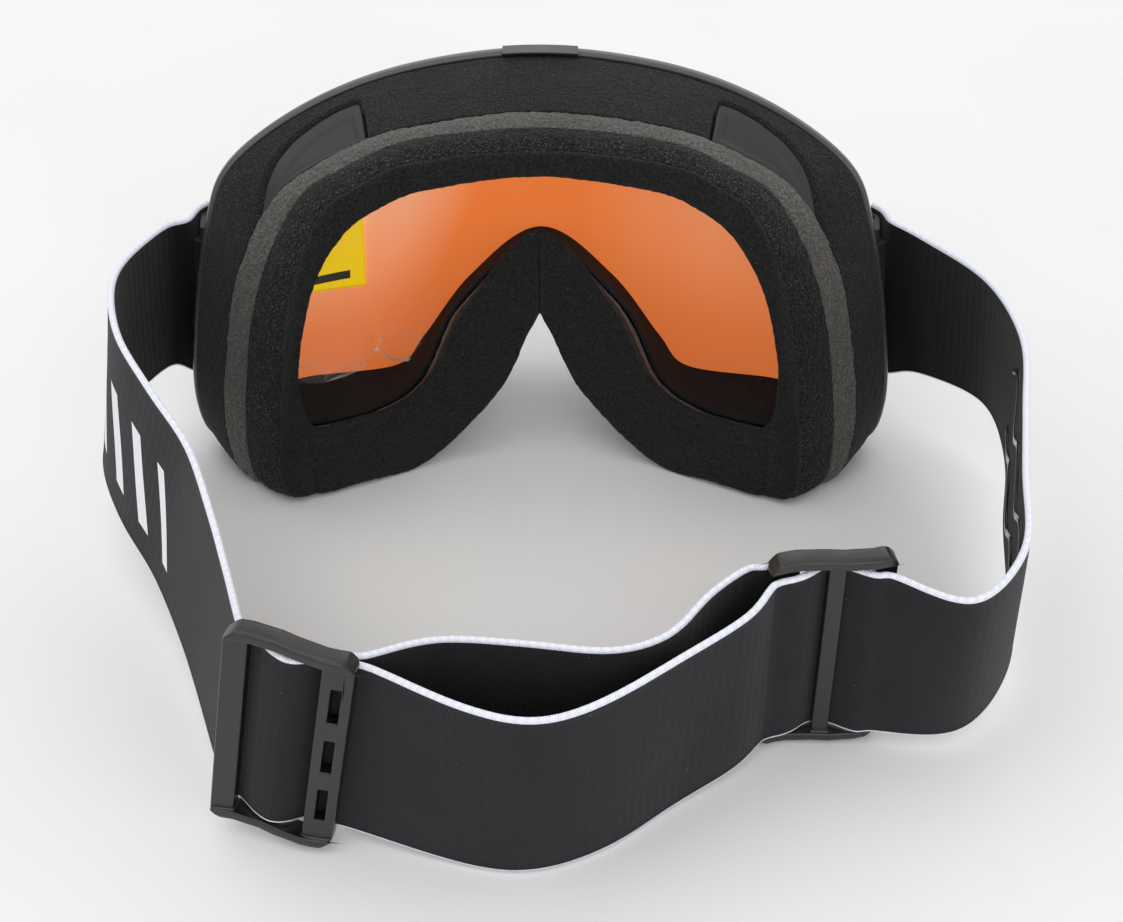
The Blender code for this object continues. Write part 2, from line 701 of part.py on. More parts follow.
def prism(outline, hole, low, high, place):
    """Extruded polygon with an optional hole; place maps (x, y, h) to space."""
    loops = [outline] + ([hole] if hole else [])
    flat = [p for loop in loops for p in loop]
    tris = tessellate_polygon([[Vector((p[0], p[1], 0)) for p in loop] for loop in loops])
    n = len(flat)
    verts = [place(p[0], p[1], low) for p in flat] + [place(p[0], p[1], high) for p in flat]
    faces = [tuple(t) for t in tris] + [tuple(n + i for i in t) for t in tris]
    start = 0
    for loop in loops:
        m = len(loop)
        for k in range(m):
            a, b = start + k, start + (k + 1) % m
            faces.append((a, b, n + b, n + a))
        start += m
    return verts, faces


def build_clip_side(side_name, sign, rim, mats):
    centre, axis, out, fwd = pin_axes(sign)

    def place(x, y, h):
        return centre + out * x + fwd * y + axis * h

    root = math.asin(CLIP_T / 2 / KNUCKLE_R)
    arc = circle(KNUCKLE_R, 14, -math.pi / 2 + root, 2 * math.pi - 2 * root)
    outline = arc + [(-CLIP_T / 2, -CLIP_LEN), (CLIP_T / 2, -CLIP_LEN)]
    verts, faces = prism(outline, circle(HOLE_R), -18.5, 18.5, place)
    add_body('strap_clip_' + side_name, verts, faces, mats['clip'], origin=centre)
    verts, faces = prism(circle(PIN_R, 12), None, -21.8, 21.8, place)
    add_body('hinge_pin_' + side_name, verts, faces, mats['steel'])
    for level, low, high in (('upper', 18.9, 22.3), ('lower', -22.3, -18.9)):
        at = place(0, 0, 0.5 * (low + high))
        near = min(rim, key=lambda p: abs(p.z - at.z) + (200 if p.x * sign < 60 else 0))
        pts = circle(KNUCKLE_R)
        for dx in (-0.9, 0.4):
            edge = Vector((near.x + sign * dx, near.y + LIP + 1.3, at.z)) - at
            pts.append((edge.dot(out), edge.dot(fwd)))
        verts, faces = prism(hull(pts), circle(HOLE_R), low, high, place)
        add_body('hinge_lug_%s_%s' % (side_name, level), verts, faces, mats['tpu'])


def build_strap_parts(mats, rim):
    left, right, side_l, side_r = strap_paths()
    build_strap('strap_left', left, mats['strap'])
    build_strap('strap_right', right, mats['strap'])
    build_grips('left', side_l, -1, mats['grip'])
    build_grips('right', side_r, 1, mats['grip'])
    build_slider('slider_left', SL_A, mats['slider'])
    build_slider('slider_right', SL_B, mats['slider'])
    build_clip_side('right', 1, rim, mats)
    build_clip_side('left', -1, rim, mats)


def main():
    clear_scene()
    mats = {
        'tpu': material('frame_tpu', (0.020, 0.020, 0.021), 0.50),
        'outer': material('outer_lens_tint', (0.055, 0.060, 0.050), 0.08),
        'inner': material('inner_lens_orange', (0.74, 0.19, 0.045), 0.12),
        'spacer': material('spacer_foam', (0.03, 0.03, 0.03), 0.90),
        'cover': material('cover_foam', (0.016, 0.016, 0.018), 0.95),
        'pad': material('brow_pad', (0.042, 0.043, 0.043), 0.55),
        'grey': material('foam_grey', (0.145, 0.135, 0.122), 0.95),
        'black': material('foam_black', (0.013, 0.013, 0.013), 0.95),
        'fleece': material('fleece', (0.012, 0.010, 0.009), 1.0),
        'badge': material('badge', (0.010, 0.010, 0.010), 0.20),
        'film': material('film', (0.85, 0.85, 0.85), 0.15),
        'label': material('label', (0.83, 0.60, 0.010), 0.40),
        'strap': material('webbing', (0.017, 0.017, 0.020), 0.90),
        'grip': material('silicone', (0.020, 0.020, 0.020), 0.22),
        'slider': material('slider', (0.045, 0.045, 0.042), 0.38),
        'clip': material('clip', (0.030, 0.030, 0.030), 0.45),
        'steel': material('pin_steel', (0.55, 0.56, 0.57), 0.30, 1.0),
    }
    rim = build_frame(mats)
    build_strap_parts(mats, rim)


main()
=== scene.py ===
"""Ski goggles: detailed pieces, materials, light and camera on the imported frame.

Tables are millimetres in the design frame; to_m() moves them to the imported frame.
"""
import math
import bpy
import bmesh
import numpy as np
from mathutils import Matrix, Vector, noise


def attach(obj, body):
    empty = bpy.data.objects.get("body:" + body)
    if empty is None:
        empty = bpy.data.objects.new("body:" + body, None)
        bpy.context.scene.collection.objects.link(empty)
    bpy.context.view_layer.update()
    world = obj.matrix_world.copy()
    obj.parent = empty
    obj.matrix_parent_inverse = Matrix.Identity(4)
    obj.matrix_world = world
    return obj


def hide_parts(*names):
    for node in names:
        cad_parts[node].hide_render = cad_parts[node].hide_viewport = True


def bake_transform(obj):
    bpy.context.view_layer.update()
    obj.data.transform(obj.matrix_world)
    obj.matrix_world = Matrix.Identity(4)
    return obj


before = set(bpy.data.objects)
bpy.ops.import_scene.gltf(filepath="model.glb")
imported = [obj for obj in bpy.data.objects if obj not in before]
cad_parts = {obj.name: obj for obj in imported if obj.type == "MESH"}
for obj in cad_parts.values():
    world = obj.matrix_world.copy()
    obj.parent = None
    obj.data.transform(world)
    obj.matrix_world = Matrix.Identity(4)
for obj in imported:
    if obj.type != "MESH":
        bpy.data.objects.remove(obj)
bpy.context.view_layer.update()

MM = 0.001
SHIFT = Vector((-4.9, 51.57, 0.06))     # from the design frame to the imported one
ROOT = 'goggle_frame'
FINE = 8           # samples for each CAD sample round a loop

# Camera, and lights in watts; WORLD is the background's strength.
CAMERA_AT = (0.0026, -0.2799, 0.2788)
CAMERA_TURN = (49.20, 0.0, 0.33)        # degrees
KEY, FRONT, BACK, WORLD = 3.3, 4.0, 2.0, 0.91
FLOOR_FAR, FLOOR_Z = 12.0, -0.0002      # metres
LENS_GLOW = 0.74                        # stands in for the light through the outer lens
# Painted light: the label glows to stand in for light that the frame keeps off it.
LABEL_GLOW = 0.45

# Frame and lenses.
LENS_R = 125.0                          # wrap radius of the rim
RIM_Y = 35.0                            # rim depth at the centre line
LIP = 2.8                               # rim lip depth
SEAT = 1.3                              # seat of the outer lens behind the lip
INNER_R = 121.0                         # inner lens radius
INNER_Y = 30.0                          # inner lens, wearer's side, centre line
LEDGE_GAP = 0.3                         # inner lens to the ledge it rests on
PAD_T = 1.4                             # brow pad
LABEL_T = 0.12

# Film and label: corners (x, z) from the top left, clockwise.
FILM = [(-60, 73), (-19, 81), (-32, 11.5), (-76, 13.0)]
LABEL = [(-63, 63), (-46.5, 62), (-47.4, 38.5), (-65.5, 41.5)]
PEAK_X = -45.2                          # where the film's loose edge stands up
PEAK_W = 3.2
PEAK_U = (PEAK_X - FILM[3][0]) / (FILM[2][0] - FILM[3][0])

# Webbing.
HALF_W = 24.0                           # half of the 48 mm width
FLAT_H, CORD_H = 0.72, 0.80             # half thickness at the face and at the selvedge
BEND_NEAR, BEND_FAR = 20.0, 80.0        # distances from a slider's middle, in mm
# Each webbing is split at its slider and near these two points.
HALFWAY = {'left': (-101.5, -41.3, 48.0), 'right': (114.5, -38.8, 45.6)}
END_CUT = {'left': (13.0, -121.2, 24.4), 'right': (26.0, -126.5, 24.4)}
OUTER_SIGN = {'left': 1, 'right': -1}   # side of the ribbon that faces outward
# Painted shade: how far the strap's inner face is painted darker.
INNER_PAINTED_SHADE = 1.0
GRIPS = [('upper', 11.0, 1.0), ('lower', -11.0, -1.0)]      # name, height, phase
GRIP_SWING, GRIP_TURN = 4.0, 0.30       # mm, radians per mm
WALE, COURSE, RIB = 0.62, 0.48, 2.4     # knit pitches, mm
PRINT_PARTS = ('clip', 'side')
PRINT_PITCH = 13.0
PRINT_ACROSS = (-15.0, 9.0)
PRINT_ALONG = (38.0, 98.0)

# Half outlines, right side, from the top centre round to the nose apex.
RIM = [(0, 99), (32, 96.8), (57, 91.5), (76.5, 82), (83.5, 68), (89.3, 42), (91.8, 18),
       (88.2, 2.6), (74, 0.6), (52, 1.5), (31, 9), (15, 28), (0, 39)]
FLANGE = [(0, 15, 93.4), (32, 11, 91.3), (50, 6, 86.5), (64, 0, 79), (74.5, -6, 62.5),
          (80, -10, 42), (83.3, -13.5, 18), (80, -16.5, 2.2), (68, -14, 1), (48, -9, 1.5),
          (30, -3, 6), (13, 4, 26), (0, 7, 40)]
FOAM_MID = [(0, 8, 92.6), (30, 5, 91), (47, -0.5, 86.5), (58, -4.5, 80.5), (67, -9.5, 65.5),
            (73, -14, 46), (77, -17.5, 18), (75.5, -19.5, 2.6), (66, -19.5, 1.4),
            (48, -14, 1.5), (30, -7, 3.8), (12, -1, 24.5), (0, 2, 41.5)]
FACE_OUT = [(0, -1, 90.3), (30, -5, 89.6), (43, -10, 86), (51.5, -14, 80.5), (58.5, -18.5, 65),
            (63, -22.5, 45), (66.5, -25.5, 20), (66.5, -26.5, 4.6), (61, -25, 1.3),
            (46, -18.5, 1.0), (30.5, -11, 1.6), (10.5, -5, 21.5), (0, -3.5, 41)]
FACE_IN = [(0, -1.5, 84.2), (26, -5.5, 83), (38, -10, 80.5), (47, -14.5, 75), (54, -19.5, 64),
           (58.5, -23.5, 47), (59.5, -24.5, 32), (56.5, -23.5, 24.3), (49, -19, 23),
           (37, -12.5, 23.5), (27, -8.5, 32), (18, -5.5, 50), (0, -2, 70)]
FLANGE_IN = [(0, 15, 84), (28, 11, 83), (44, 6, 79), (55, 0, 72), (64, -5.5, 60),
             (69.5, -9.5, 44), (72, -12, 24), (68, -12.5, 15), (58, -8.5, 12),
             (44, -2.5, 12.5), (32, 1.5, 20), (21, 5, 42), (0, 8.5, 58)]
LENS_OPEN = [(0, 88), (32, 86), (55, 80), (68, 71), (75, 58), (79, 40), (79.5, 22),
             (75, 15), (64, 13.2), (40.5, 8.8), (32, 18), (18.5, 36), (0, 50)]
SEG = [5, 4, 3, 3, 3, 3, 3, 3, 3, 3, 3, 3]      # samples between those points

# Brow pads: first outline sample, and how far up the wall the pad begins at each sample.
PAD_FIRST = 7
PAD_SHAPE = [0.68, 0.28, 0.26, 0.29, 0.37, 0.52, 0.71, 0.90, 0.98]

# Strap sliders, 27 x 54.5 mm three-bar ladders: centre, length axis, width axis.
SL_A = (Vector((-50.5, -128.8, 29.2)), Vector((0.968, -0.195, -0.161)),
        Vector((0.178, 0.076, 0.981)))
SL_B = (Vector((62.8, -102.4, 27.6)), Vector((-0.992, -0.128, -0.015)),
        Vector((-0.020, 0.041, 0.999)))
SL_HALF_LENGTH = 13.5
SL_WAVE = 0.9                           # S-curve of the ladder in plan

# Strap clips turn on a steel pin held by two lugs on the rim's side.
PIN_TOP = Vector((84.0, 11.2, 67.3))    # right side, mirrored for the left
PIN_BOT = Vector((88.5, 10.5, 19.3))
CLIP_SWING = math.radians(22.0)         # the clip points outward, along the strap

# Top and bottom edge of the webbing at stations along its free runs.
LEFT_EDGES = [((-94, -1.5, 70.6), (-100.6, 4.2, 22.0)), ((-99.6, -23.9, 72.5), (-107.4, -16.9, 25)),
              ((-95.2, -44.7, 71), (-107.8, -38, 25)), ((-85.3, -60, 66), (-100.5, -55, 20.5)),
              ((-74.6, -74.3, 61), (-90, -70, 15.5)), ((-67.5, -91, 56.5), (-81.5, -86, 11)),
              ((-62.5, -104, 53.5), (-76, -98.5, 7.5))]
BACK_EDGES = [((-19, -118.8, 48.5), (-22, -119.5, 0.8)), ((-1, -119.7, 48.2), (-1.5, -120, 0.6)),
              ((16, -121.5, 48.2), (16, -121.5, 0.6)), ((28, -117, 48.4), (28, -116.5, 0.6)),
              ((36.5, -107, 49.5), (36, -107, 1.6)), ((44.5, -101, 51), (45, -101.5, 3.0))]
RIGHT_EDGES = [((96.7, -2.7, 68.4), (102.6, 4.8, 20.1)), ((107, -22.9, 69.9), (116.1, -11.8, 23.9)),
               ((110.9, -44.3, 68.7), (118, -33.3, 22.5)), ((108.4, -62.6, 63.8), (114.6, -52, 17.4)),
               ((105.2, -80.8, 59.3), (112.3, -71.5, 12.7)), ((102, -99, 55.2), (108, -90.8, 8.3)),
               ((89.6, -110.7, 51.7), (94.9, -105.3, 4.2))]
FRONT_EDGES = [((44.5, -113, 50), (44, -114.5, 2.2)), ((32, -122, 48.5), (30, -123.5, 0.8)),
               ((14, -135, 48.2), (16, -134, 0.6)), ((0.5, -139.5, 48.2), (1, -139.8, 0.6)),
               ((-14, -135.5, 48.3), (-14, -138.5, 0.6))]


def catmull(p0, p1, p2, p3, t):
    """Point on the smooth curve through p1 (t = 0) and p2 (t = 1)."""
    t2, t3 = t * t, t * t * t
    return 0.5 * ((2 * p1) + (p2 - p0) * t + (2 * p0 - 5 * p1 + 4 * p2 - p3) * t2
                  + (3 * p1 - p0 - 3 * p2 + p3) * t3)


def slider_axes(which):
    centre, along, up = which
    along = along.normalized()
    up = (up - along * up.dot(along)).normalized()
    return centre, along, up, along.cross(up)


def slider_point(which, a, f, u):
    centre, along, up, face = slider_axes(which)
    wave = SL_WAVE * math.sin(math.pi * a / SL_HALF_LENGTH)
    return centre + along * a + up * u + face * (f + wave)


def smooth_run(stations, sub):
    out = []
    n = len(stations)
    for k in range(n - 1):
        q = [stations[min(max(k + j, 0), n - 1)] for j in (-1, 0, 1, 2)]
        for s in range(sub):
            t = s / sub
            pair = tuple(catmull(q[0][e], q[1][e], q[2][e], q[3][e], t) for e in (0, 1))
            mid = 0.5 * (pair[0] + pair[1])
            half = (pair[0] - pair[1]).normalized() * HALF_W
            out.append((mid + half, mid - half))
    out.append(stations[-1])
    return out


def local_run(which, points):
    return [(slider_point(which, a, f, HALF_W), slider_point(which, a, f, -HALF_W))
            for a, f in points]


def pin_axes(sign):
    top = Vector((PIN_TOP.x * sign, PIN_TOP.y, PIN_TOP.z))
    low = Vector((PIN_BOT.x * sign, PIN_BOT.y, PIN_BOT.z))
    axis = (top - low).normalized()
    out = Vector((sign, 0, 0))
    out = (out - axis * out.dot(axis)).normalized()
    fwd = axis.cross(out) * sign
    c, s = math.cos(CLIP_SWING), math.sin(CLIP_SWING)
    return 0.5 * (top + low), axis, out * c + fwd * s, fwd * c - out * s


def clip_run(sign):
    centre, axis, out, fwd = pin_axes(sign)
    pairs = []
    for back, lift in ((-3.4, 3.0), (0.2, 3.9), (3.8, 3.2), (7.0, 3.2)):
        p = centre + out * lift - fwd * back
        pairs.append((p + axis * HALF_W, p - axis * HALF_W))
    return pairs


def vectors(edges):
    return [(Vector(a), Vector(b)) for a, b in edges]


def strap_paths():
    """Stations of both webbings, from the clip to the cut end."""
    thru_in = [(-11.0, -2.6), (-8.3, -2.6), (-2.9, 1.4), (1.5, 1.4)]
    a_in = local_run(SL_A, thru_in + [(7.6, -4.5), (12.5, -4.5)])
    b_in = local_run(SL_B, thru_in + [(6.7, -2.6), (12.5, -2.6)])
    a_end = local_run(SL_A, [(13.8, -2.6), (8.2, -2.6)])
    b_end = local_run(SL_B, [(13.8, 2.6), (8.2, 2.6)])

    clip = clip_run(-1)
    side = smooth_run([clip[2], clip[3]] + vectors(LEFT_EDGES) + [a_in[0], a_in[1]], 4)
    side = clip[:2] + side[:-5]
    back = smooth_run([a_in[-2], a_in[-1]] + vectors(BACK_EDGES) + b_end, 3)
    left = side + a_in[:-1] + back[3:-3] + [b_end[-1]]

    clip = clip_run(1)
    side = smooth_run([clip[2], clip[3]] + vectors(RIGHT_EDGES) + [b_in[0], b_in[1]], 4)
    side = clip[:2] + side[:-5]
    front = smooth_run([b_in[-2], b_in[-1]] + vectors(FRONT_EDGES) + a_end, 3)
    right = side + b_in[:-1] + front[3:-3] + [a_end[-1]]
    return {'left': left, 'right': right}


# ---------------------------------------------------------------- node materials
class Paint:
    """A Principled material with short calls for its texture nodes."""

    def __init__(self, name, rough, **constant):
        self.mat = bpy.data.materials.new(name)
        self.mat.use_nodes = True
        self.tree = self.mat.node_tree
        self.bsdf = self.tree.nodes['Principled BSDF']
        self.bsdf.inputs['Roughness'].default_value = rough
        for key, value in constant.items():
            self.bsdf.inputs[key.replace('_', ' ')].default_value = value

    def put(self, socket, value):
        if isinstance(value, bpy.types.NodeSocket):
            self.tree.links.new(value, socket)
        elif value is not None:
            socket.default_value = value

    def add(self, kind, out=0, props=None, **sockets):
        node = self.tree.nodes.new('ShaderNode' + kind)
        for key, value in (props or {}).items():
            setattr(node, key, value)
        for key, value in sockets.items():
            name = int(key[1:]) if key[0] == 'i' and key[1:].isdigit() else key
            self.put(node.inputs[name], value)
        return node.outputs[out]

    def place(self, uv=False):
        return self.add('TexCoord', out='UV' if uv else 'Object')

    def noise(self, scale, detail=3.0, at=None, rough=0.6):
        return self.add('TexNoise', Vector=at or self.place(), Scale=scale, Detail=detail,
                        Roughness=rough)

    def cells(self, scale, at=None):
        return self.add('TexVoronoi', Vector=at or self.place(), Scale=scale)

    def parts(self, vector):
        """The x, y and z of a vector."""
        split = self.tree.nodes.new('ShaderNodeSeparateXYZ')
        self.put(split.inputs[0], vector)
        return split.outputs

    def math(self, op, a, b=None):
        return self.add('Math', props={'operation': op}, i0=a, i1=b)

    def ramp(self, value, low, high, a=0.0, b=1.0):
        return self.add('MapRange', i0=value, i1=low, i2=high, i3=a, i4=b)

    def mix(self, factor, a, b):
        def full(colour):
            return tuple(colour) + (1.0,) if isinstance(colour, tuple) else colour
        node = self.tree.nodes.new('ShaderNodeMix')
        node.data_type = 'RGBA'
        for index, value in ((0, factor), (6, full(a)), (7, full(b))):
            self.put(node.inputs[index], value)
        return node.outputs[2]

    def bump(self, height, distance, strength=1.0, under=None):
        return self.add('Bump', Height=height, Distance=distance, Strength=strength,
                        Normal=under)

    def finish(self, colour, rough=None, normal=None, alpha=None):
        self.put(self.bsdf.inputs['Base Color'], colour)
        self.put(self.bsdf.inputs['Roughness'], rough)
        self.put(self.bsdf.inputs['Normal'], normal)
        self.put(self.bsdf.inputs['Alpha'], alpha)
        return self.mat


def foam_paint(name, dark, light, fleck, cell, fleck_at, sheen):
    """Open-cell foam: pores, lighter cell walls and a few bright flecks."""
    p = Paint(name, 0.95, Sheen_Weight=sheen, Sheen_Roughness=0.6)
    p.bsdf.inputs['Specular IOR Level'].default_value = 0.15
    pores = p.cells(cell)
    grain = p.noise(cell * 0.9, 4.0)
    broad = p.noise(60.0, 2.0)
    walls = p.math('ADD', p.math('MULTIPLY', grain, 0.75), p.math('MULTIPLY', pores, 0.45))
    colour = p.mix(p.ramp(walls, 0.42, 0.86), dark, light)
    flecks = p.ramp(p.noise(cell * 1.7, 1.0), fleck_at, fleck_at + 0.07)
    colour = p.mix(flecks, colour, fleck)
    colour = p.mix(p.ramp(broad, 0.35, 0.75, 0.0, 0.35), colour, dark)
    coarse = p.bump(p.noise(cell * 0.35, 2.0), 0.0004, 0.5)
    return p.finish(colour, None, p.bump(walls, 0.0005, 0.9, coarse))


def fleece_paint():
    """Short pile, with faint brownish patches at random as painted reflection of the orange lens."""
    p = Paint('fleece_pile', 1.0, Sheen_Weight=0.35, Sheen_Roughness=0.5)
    p.bsdf.inputs['Sheen Tint'].default_value = (0.30, 0.29, 0.28, 1.0)
    p.bsdf.inputs['Specular IOR Level'].default_value = 0.08
    tufts = p.noise(1500.0, 4.0)
    soft = p.noise(220.0, 3.0)
    colour = p.mix(p.ramp(tufts, 0.35, 0.75), (0.0065, 0.0064, 0.0064), (0.028, 0.0275, 0.0275))
    # Painted reflection: brownish patches stand in for orange light from the lens.
    colour = p.mix(p.ramp(soft, 0.52, 0.80, 0.0, 0.4), colour, (0.022, 0.018, 0.016))
    lint = p.ramp(p.noise(2600.0, 0.0), 0.84, 0.88)
    colour = p.mix(lint, colour, (0.10, 0.095, 0.09))
    deep = p.bump(soft, 0.0006, 0.6)
    return p.finish(colour, None, p.bump(tufts, 0.0005, 0.9, deep))


def moulded_paint(name, colour, worn, rough, grain, coat=0.0, relief=0.00006):
    """Moulded plastic: fine grain, mottled gloss, faint scuffs."""
    p = Paint(name, rough, Coat_Weight=coat, Coat_Roughness=0.25)
    fine = p.noise(grain, 3.0)
    broad = p.noise(90.0, 3.0)
    stretch = p.add('Mapping', Vector=p.place(), Scale=(900.0, 260.0, 70.0))
    scuffs = p.ramp(p.noise(1.0, 2.0, stretch), 0.66, 0.78)
    tone = p.mix(p.ramp(broad, 0.3, 0.75), colour, worn)
    tone = p.mix(p.math('MULTIPLY', scuffs, 0.25), tone, worn)
    gloss = p.math('ADD', p.ramp(broad, 0.3, 0.7, rough - 0.05, rough + 0.07),
                   p.math('MULTIPLY', scuffs, 0.08))
    return p.finish(tone, gloss, p.bump(fine, relief, 0.5))


def webbing_paint(print_on):
    """Elastic webbing: UV is (across, along) in millimetres."""
    p = Paint('webbing_printed' if print_on else 'webbing_plain', 0.92, Sheen_Weight=0.12,
              Sheen_Roughness=0.4)
    p.bsdf.inputs['Specular IOR Level'].default_value = 0.2
    uv = p.place(uv=True)
    across, along = p.parts(uv)[:2]
    wale = p.math('SINE', p.math('MULTIPLY', across, 2 * math.pi / WALE))
    course = p.math('SINE', p.math('MULTIPLY', along, 2 * math.pi / COURSE))
    knit = p.math('MULTIPLY', wale, course)
    ribs = p.math('SINE', p.math('MULTIPLY', along, 2 * math.pi / RIB))
    yarn = p.noise(2.2, 3.0, uv)
    cloud = p.noise(0.05, 3.0, uv)
    body = p.mix(p.ramp(knit, -1.0, 1.0), (0.0095, 0.0092, 0.0108), (0.0235, 0.0230, 0.0262))
    body = p.mix(p.ramp(cloud, 0.35, 0.7, 0.0, 0.3), body, (0.024, 0.024, 0.030))
    body = p.mix(p.ramp(yarn, 0.55, 0.8, 0.0, 0.35), body, (0.030, 0.030, 0.036))
    lint = p.ramp(p.noise(0.9, 1.0, uv), 0.80, 0.83)
    body = p.mix(lint, body, (0.16, 0.16, 0.17))
    side = p.add('Attribute', out='Fac', props={'attribute_name': 'outer_face'})
    # Painted shade: the inner face is darkened towards a near black.
    body = p.mix(p.ramp(side, 0.0, 1.0, INNER_PAINTED_SHADE, 0.0), body, (0.0035, 0.0035, 0.0040))
    if print_on:
        mask = p.math('MULTIPLY', print_mask(p, across, along), side)
        body = p.mix(mask, body, (0.83, 0.84, 0.87))
    edge = p.math('ABSOLUTE', across)
    cord = p.math('SINE', p.math('MULTIPLY', p.math('ADD', along, edge), 2 * math.pi / WALE))
    white = p.mix(p.ramp(cord, -1.0, 0.2), (0.72, 0.74, 0.85), (0.90, 0.91, 0.98))
    weave_edge = p.math('ADD', edge, p.math('MULTIPLY', course, 0.05))
    selvedge = p.ramp(weave_edge, HALF_W - 0.86, HALF_W - 0.78)
    colour = p.mix(selvedge, body, white)
    relief = p.math('ADD', p.math('MULTIPLY', knit, 0.5), p.math('MULTIPLY', ribs, 0.25))
    relief = p.math('ADD', relief, p.math('MULTIPLY', p.math('MULTIPLY', cord, selvedge), 0.7))
    return p.finish(colour, None, p.bump(relief, 0.00012, 0.7))


def print_mask(p, across, along):
    """Generic woven motif: a row of slanted bars along the strap's outer face."""
    slant = p.math('ADD', along, p.math('MULTIPLY', across, 0.45))
    phase = p.math('FRACT', p.math('DIVIDE', slant, PRINT_PITCH))
    bar = p.math('MULTIPLY', p.math('GREATER_THAN', phase, 0.30), p.math('LESS_THAN', phase, 0.66))
    low = p.math('GREATER_THAN', across, PRINT_ACROSS[0])
    high = p.math('LESS_THAN', across, PRINT_ACROSS[1])
    first = p.math('GREATER_THAN', slant, PRINT_ALONG[0])
    last = p.math('LESS_THAN', slant, PRINT_ALONG[1])
    mask = p.math('MULTIPLY', p.math('MULTIPLY', bar, low), high)
    return p.math('MULTIPLY', p.math('MULTIPLY', mask, first), last)


def lens_paint():
    """Orange sheet, with painted light: deeper below as painted shade, paler to the upper left where
    the film lies and to the right as painted reflections.
    """
    p = Paint('orange_lens', 0.10, IOR=1.49, Coat_Weight=0.4, Coat_Roughness=0.05)
    x, _, z = p.parts(p.place())
    wisp = p.noise(28.0, 3.0)
    height = p.ramp(p.math('ADD', z, p.math('MULTIPLY', wisp, 0.010)), 0.012, 0.085)
    slant = p.math('SUBTRACT', x, p.math('MULTIPLY', z, 0.45))
    left = p.ramp(p.math('ADD', slant, p.math('MULTIPLY', wisp, 0.010)), -0.045, -0.063)
    right = p.ramp(p.math('ADD', x, p.math('MULTIPLY', wisp, 0.010)), 0.012, 0.045)
    # Painted shade and reflections: darker towards the bottom, paler patches at the upper left and
    # right.
    colour = p.mix(height, (0.60, 0.135, 0.030), (0.80, 0.195, 0.046))
    upper = p.ramp(height, 0.25, 0.95, 0.10, 1.0)
    colour = p.mix(p.math('MULTIPLY', p.math('MULTIPLY', left, upper), 0.85), colour,
                   (0.82, 0.420, 0.245))
    colour = p.mix(p.math('MULTIPLY', p.math('MULTIPLY', right, upper), 0.70), colour,
                   (0.72, 0.320, 0.175))
    smear = p.bump(p.noise(14.0, 2.0), 0.0004, 0.15)
    gloss = p.ramp(wisp, 0.3, 0.7, 0.07, 0.16)
    # Painted glow: the emission stands in for the light through the outer lens.
    p.put(p.bsdf.inputs['Emission Color'], colour)
    p.bsdf.inputs['Emission Strength'].default_value = LENS_GLOW
    return p.finish(colour, gloss, smear)


def film_paint():
    """Clear film: nearly invisible where flat, with painted highlights: whiter along its creases low
    down, along its bottom hem and along the fold of its loose edge.
    """
    p = Paint('clear_film', 0.08, IOR=1.45, Coat_Weight=0.0)
    crumple = p.noise(160.0, 3.0)
    creases = p.ramp(p.add('TexVoronoi', props={'feature': 'DISTANCE_TO_EDGE'},
                           Vector=p.place(), Scale=75.0), 0.05, 0.0)
    low = p.ramp(p.parts(p.place())[2], 0.030, 0.018)
    # Painted highlights along the creases low down.
    alpha = p.math('ADD', 0.035, p.math('MULTIPLY', low, p.ramp(creases, 0.0, 1.0, 0.04, 0.22)))
    u, v = p.parts(p.place(uv=True))[:2]
    # Painted highlights along the bottom hem and the fold of the loose edge, broken up by the shine
    # noise.
    hem_highlight = p.ramp(v, 0.975, 0.992)
    fold_highlight = p.ramp(p.math('ABSOLUTE', p.math('SUBTRACT', u, PEAK_U)), 0.010, 0.004)
    fold_highlight = p.math('MULTIPLY', fold_highlight, p.ramp(v, 0.86, 0.93, 0.0, 0.5))
    shine = p.ramp(p.noise(130.0, 2.0), 0.30, 0.60, 0.15, 0.75)
    alpha = p.math('MAXIMUM', alpha, p.math('MULTIPLY', p.math('MAXIMUM', hem_highlight, fold_highlight), shine))
    height = p.math('ADD', p.math('MULTIPLY', crumple, 0.4), p.math('MULTIPLY', creases, 0.6))
    return p.finish((0.95, 0.90, 0.86, 1.0), None, p.bump(height, 0.0004, 0.5), alpha)


def label_paint():
    """Plain coloured label with one dark bar: UV is (across, down), 0 to 1."""
    p = Paint('label_print', 0.38, Coat_Weight=0.3, Coat_Roughness=0.2)
    u, v = p.parts(p.place(uv=True))[:2]
    tilt = p.math('ADD', v, p.math('MULTIPLY', u, 0.05))
    bar = p.math('MULTIPLY', p.math('GREATER_THAN', tilt, 0.80), p.math('LESS_THAN', tilt, 0.91))
    bar = p.math('MULTIPLY', bar, p.math('LESS_THAN', u, 0.78))
    paper = p.mix(p.noise(300.0, 2.0), (0.95, 0.60, 0.010), (0.98, 0.68, 0.016))
    colour = p.mix(bar, paper, (0.035, 0.030, 0.022))
    # Painted light: the label glows so that it looks lit inside the frame.
    p.put(p.bsdf.inputs['Emission Color'], colour)
    p.bsdf.inputs['Emission Strength'].default_value = LABEL_GLOW
    return p.finish(colour, None, p.bump(p.noise(500.0, 2.0), 0.0001, 0.3))


def steel_paint():
    p = Paint('pin_steel_drawn', 0.28, Metallic=1.0)
    stretch = p.add('Mapping', Vector=p.place(), Scale=(2500.0, 2500.0, 60.0))
    lines = p.noise(1.0, 3.0, stretch)
    colour = p.mix(lines, (0.42, 0.43, 0.44), (0.62, 0.63, 0.64))
    return p.finish(colour, p.ramp(lines, 0.3, 0.7, 0.2, 0.4), p.bump(lines, 0.00003, 0.5))


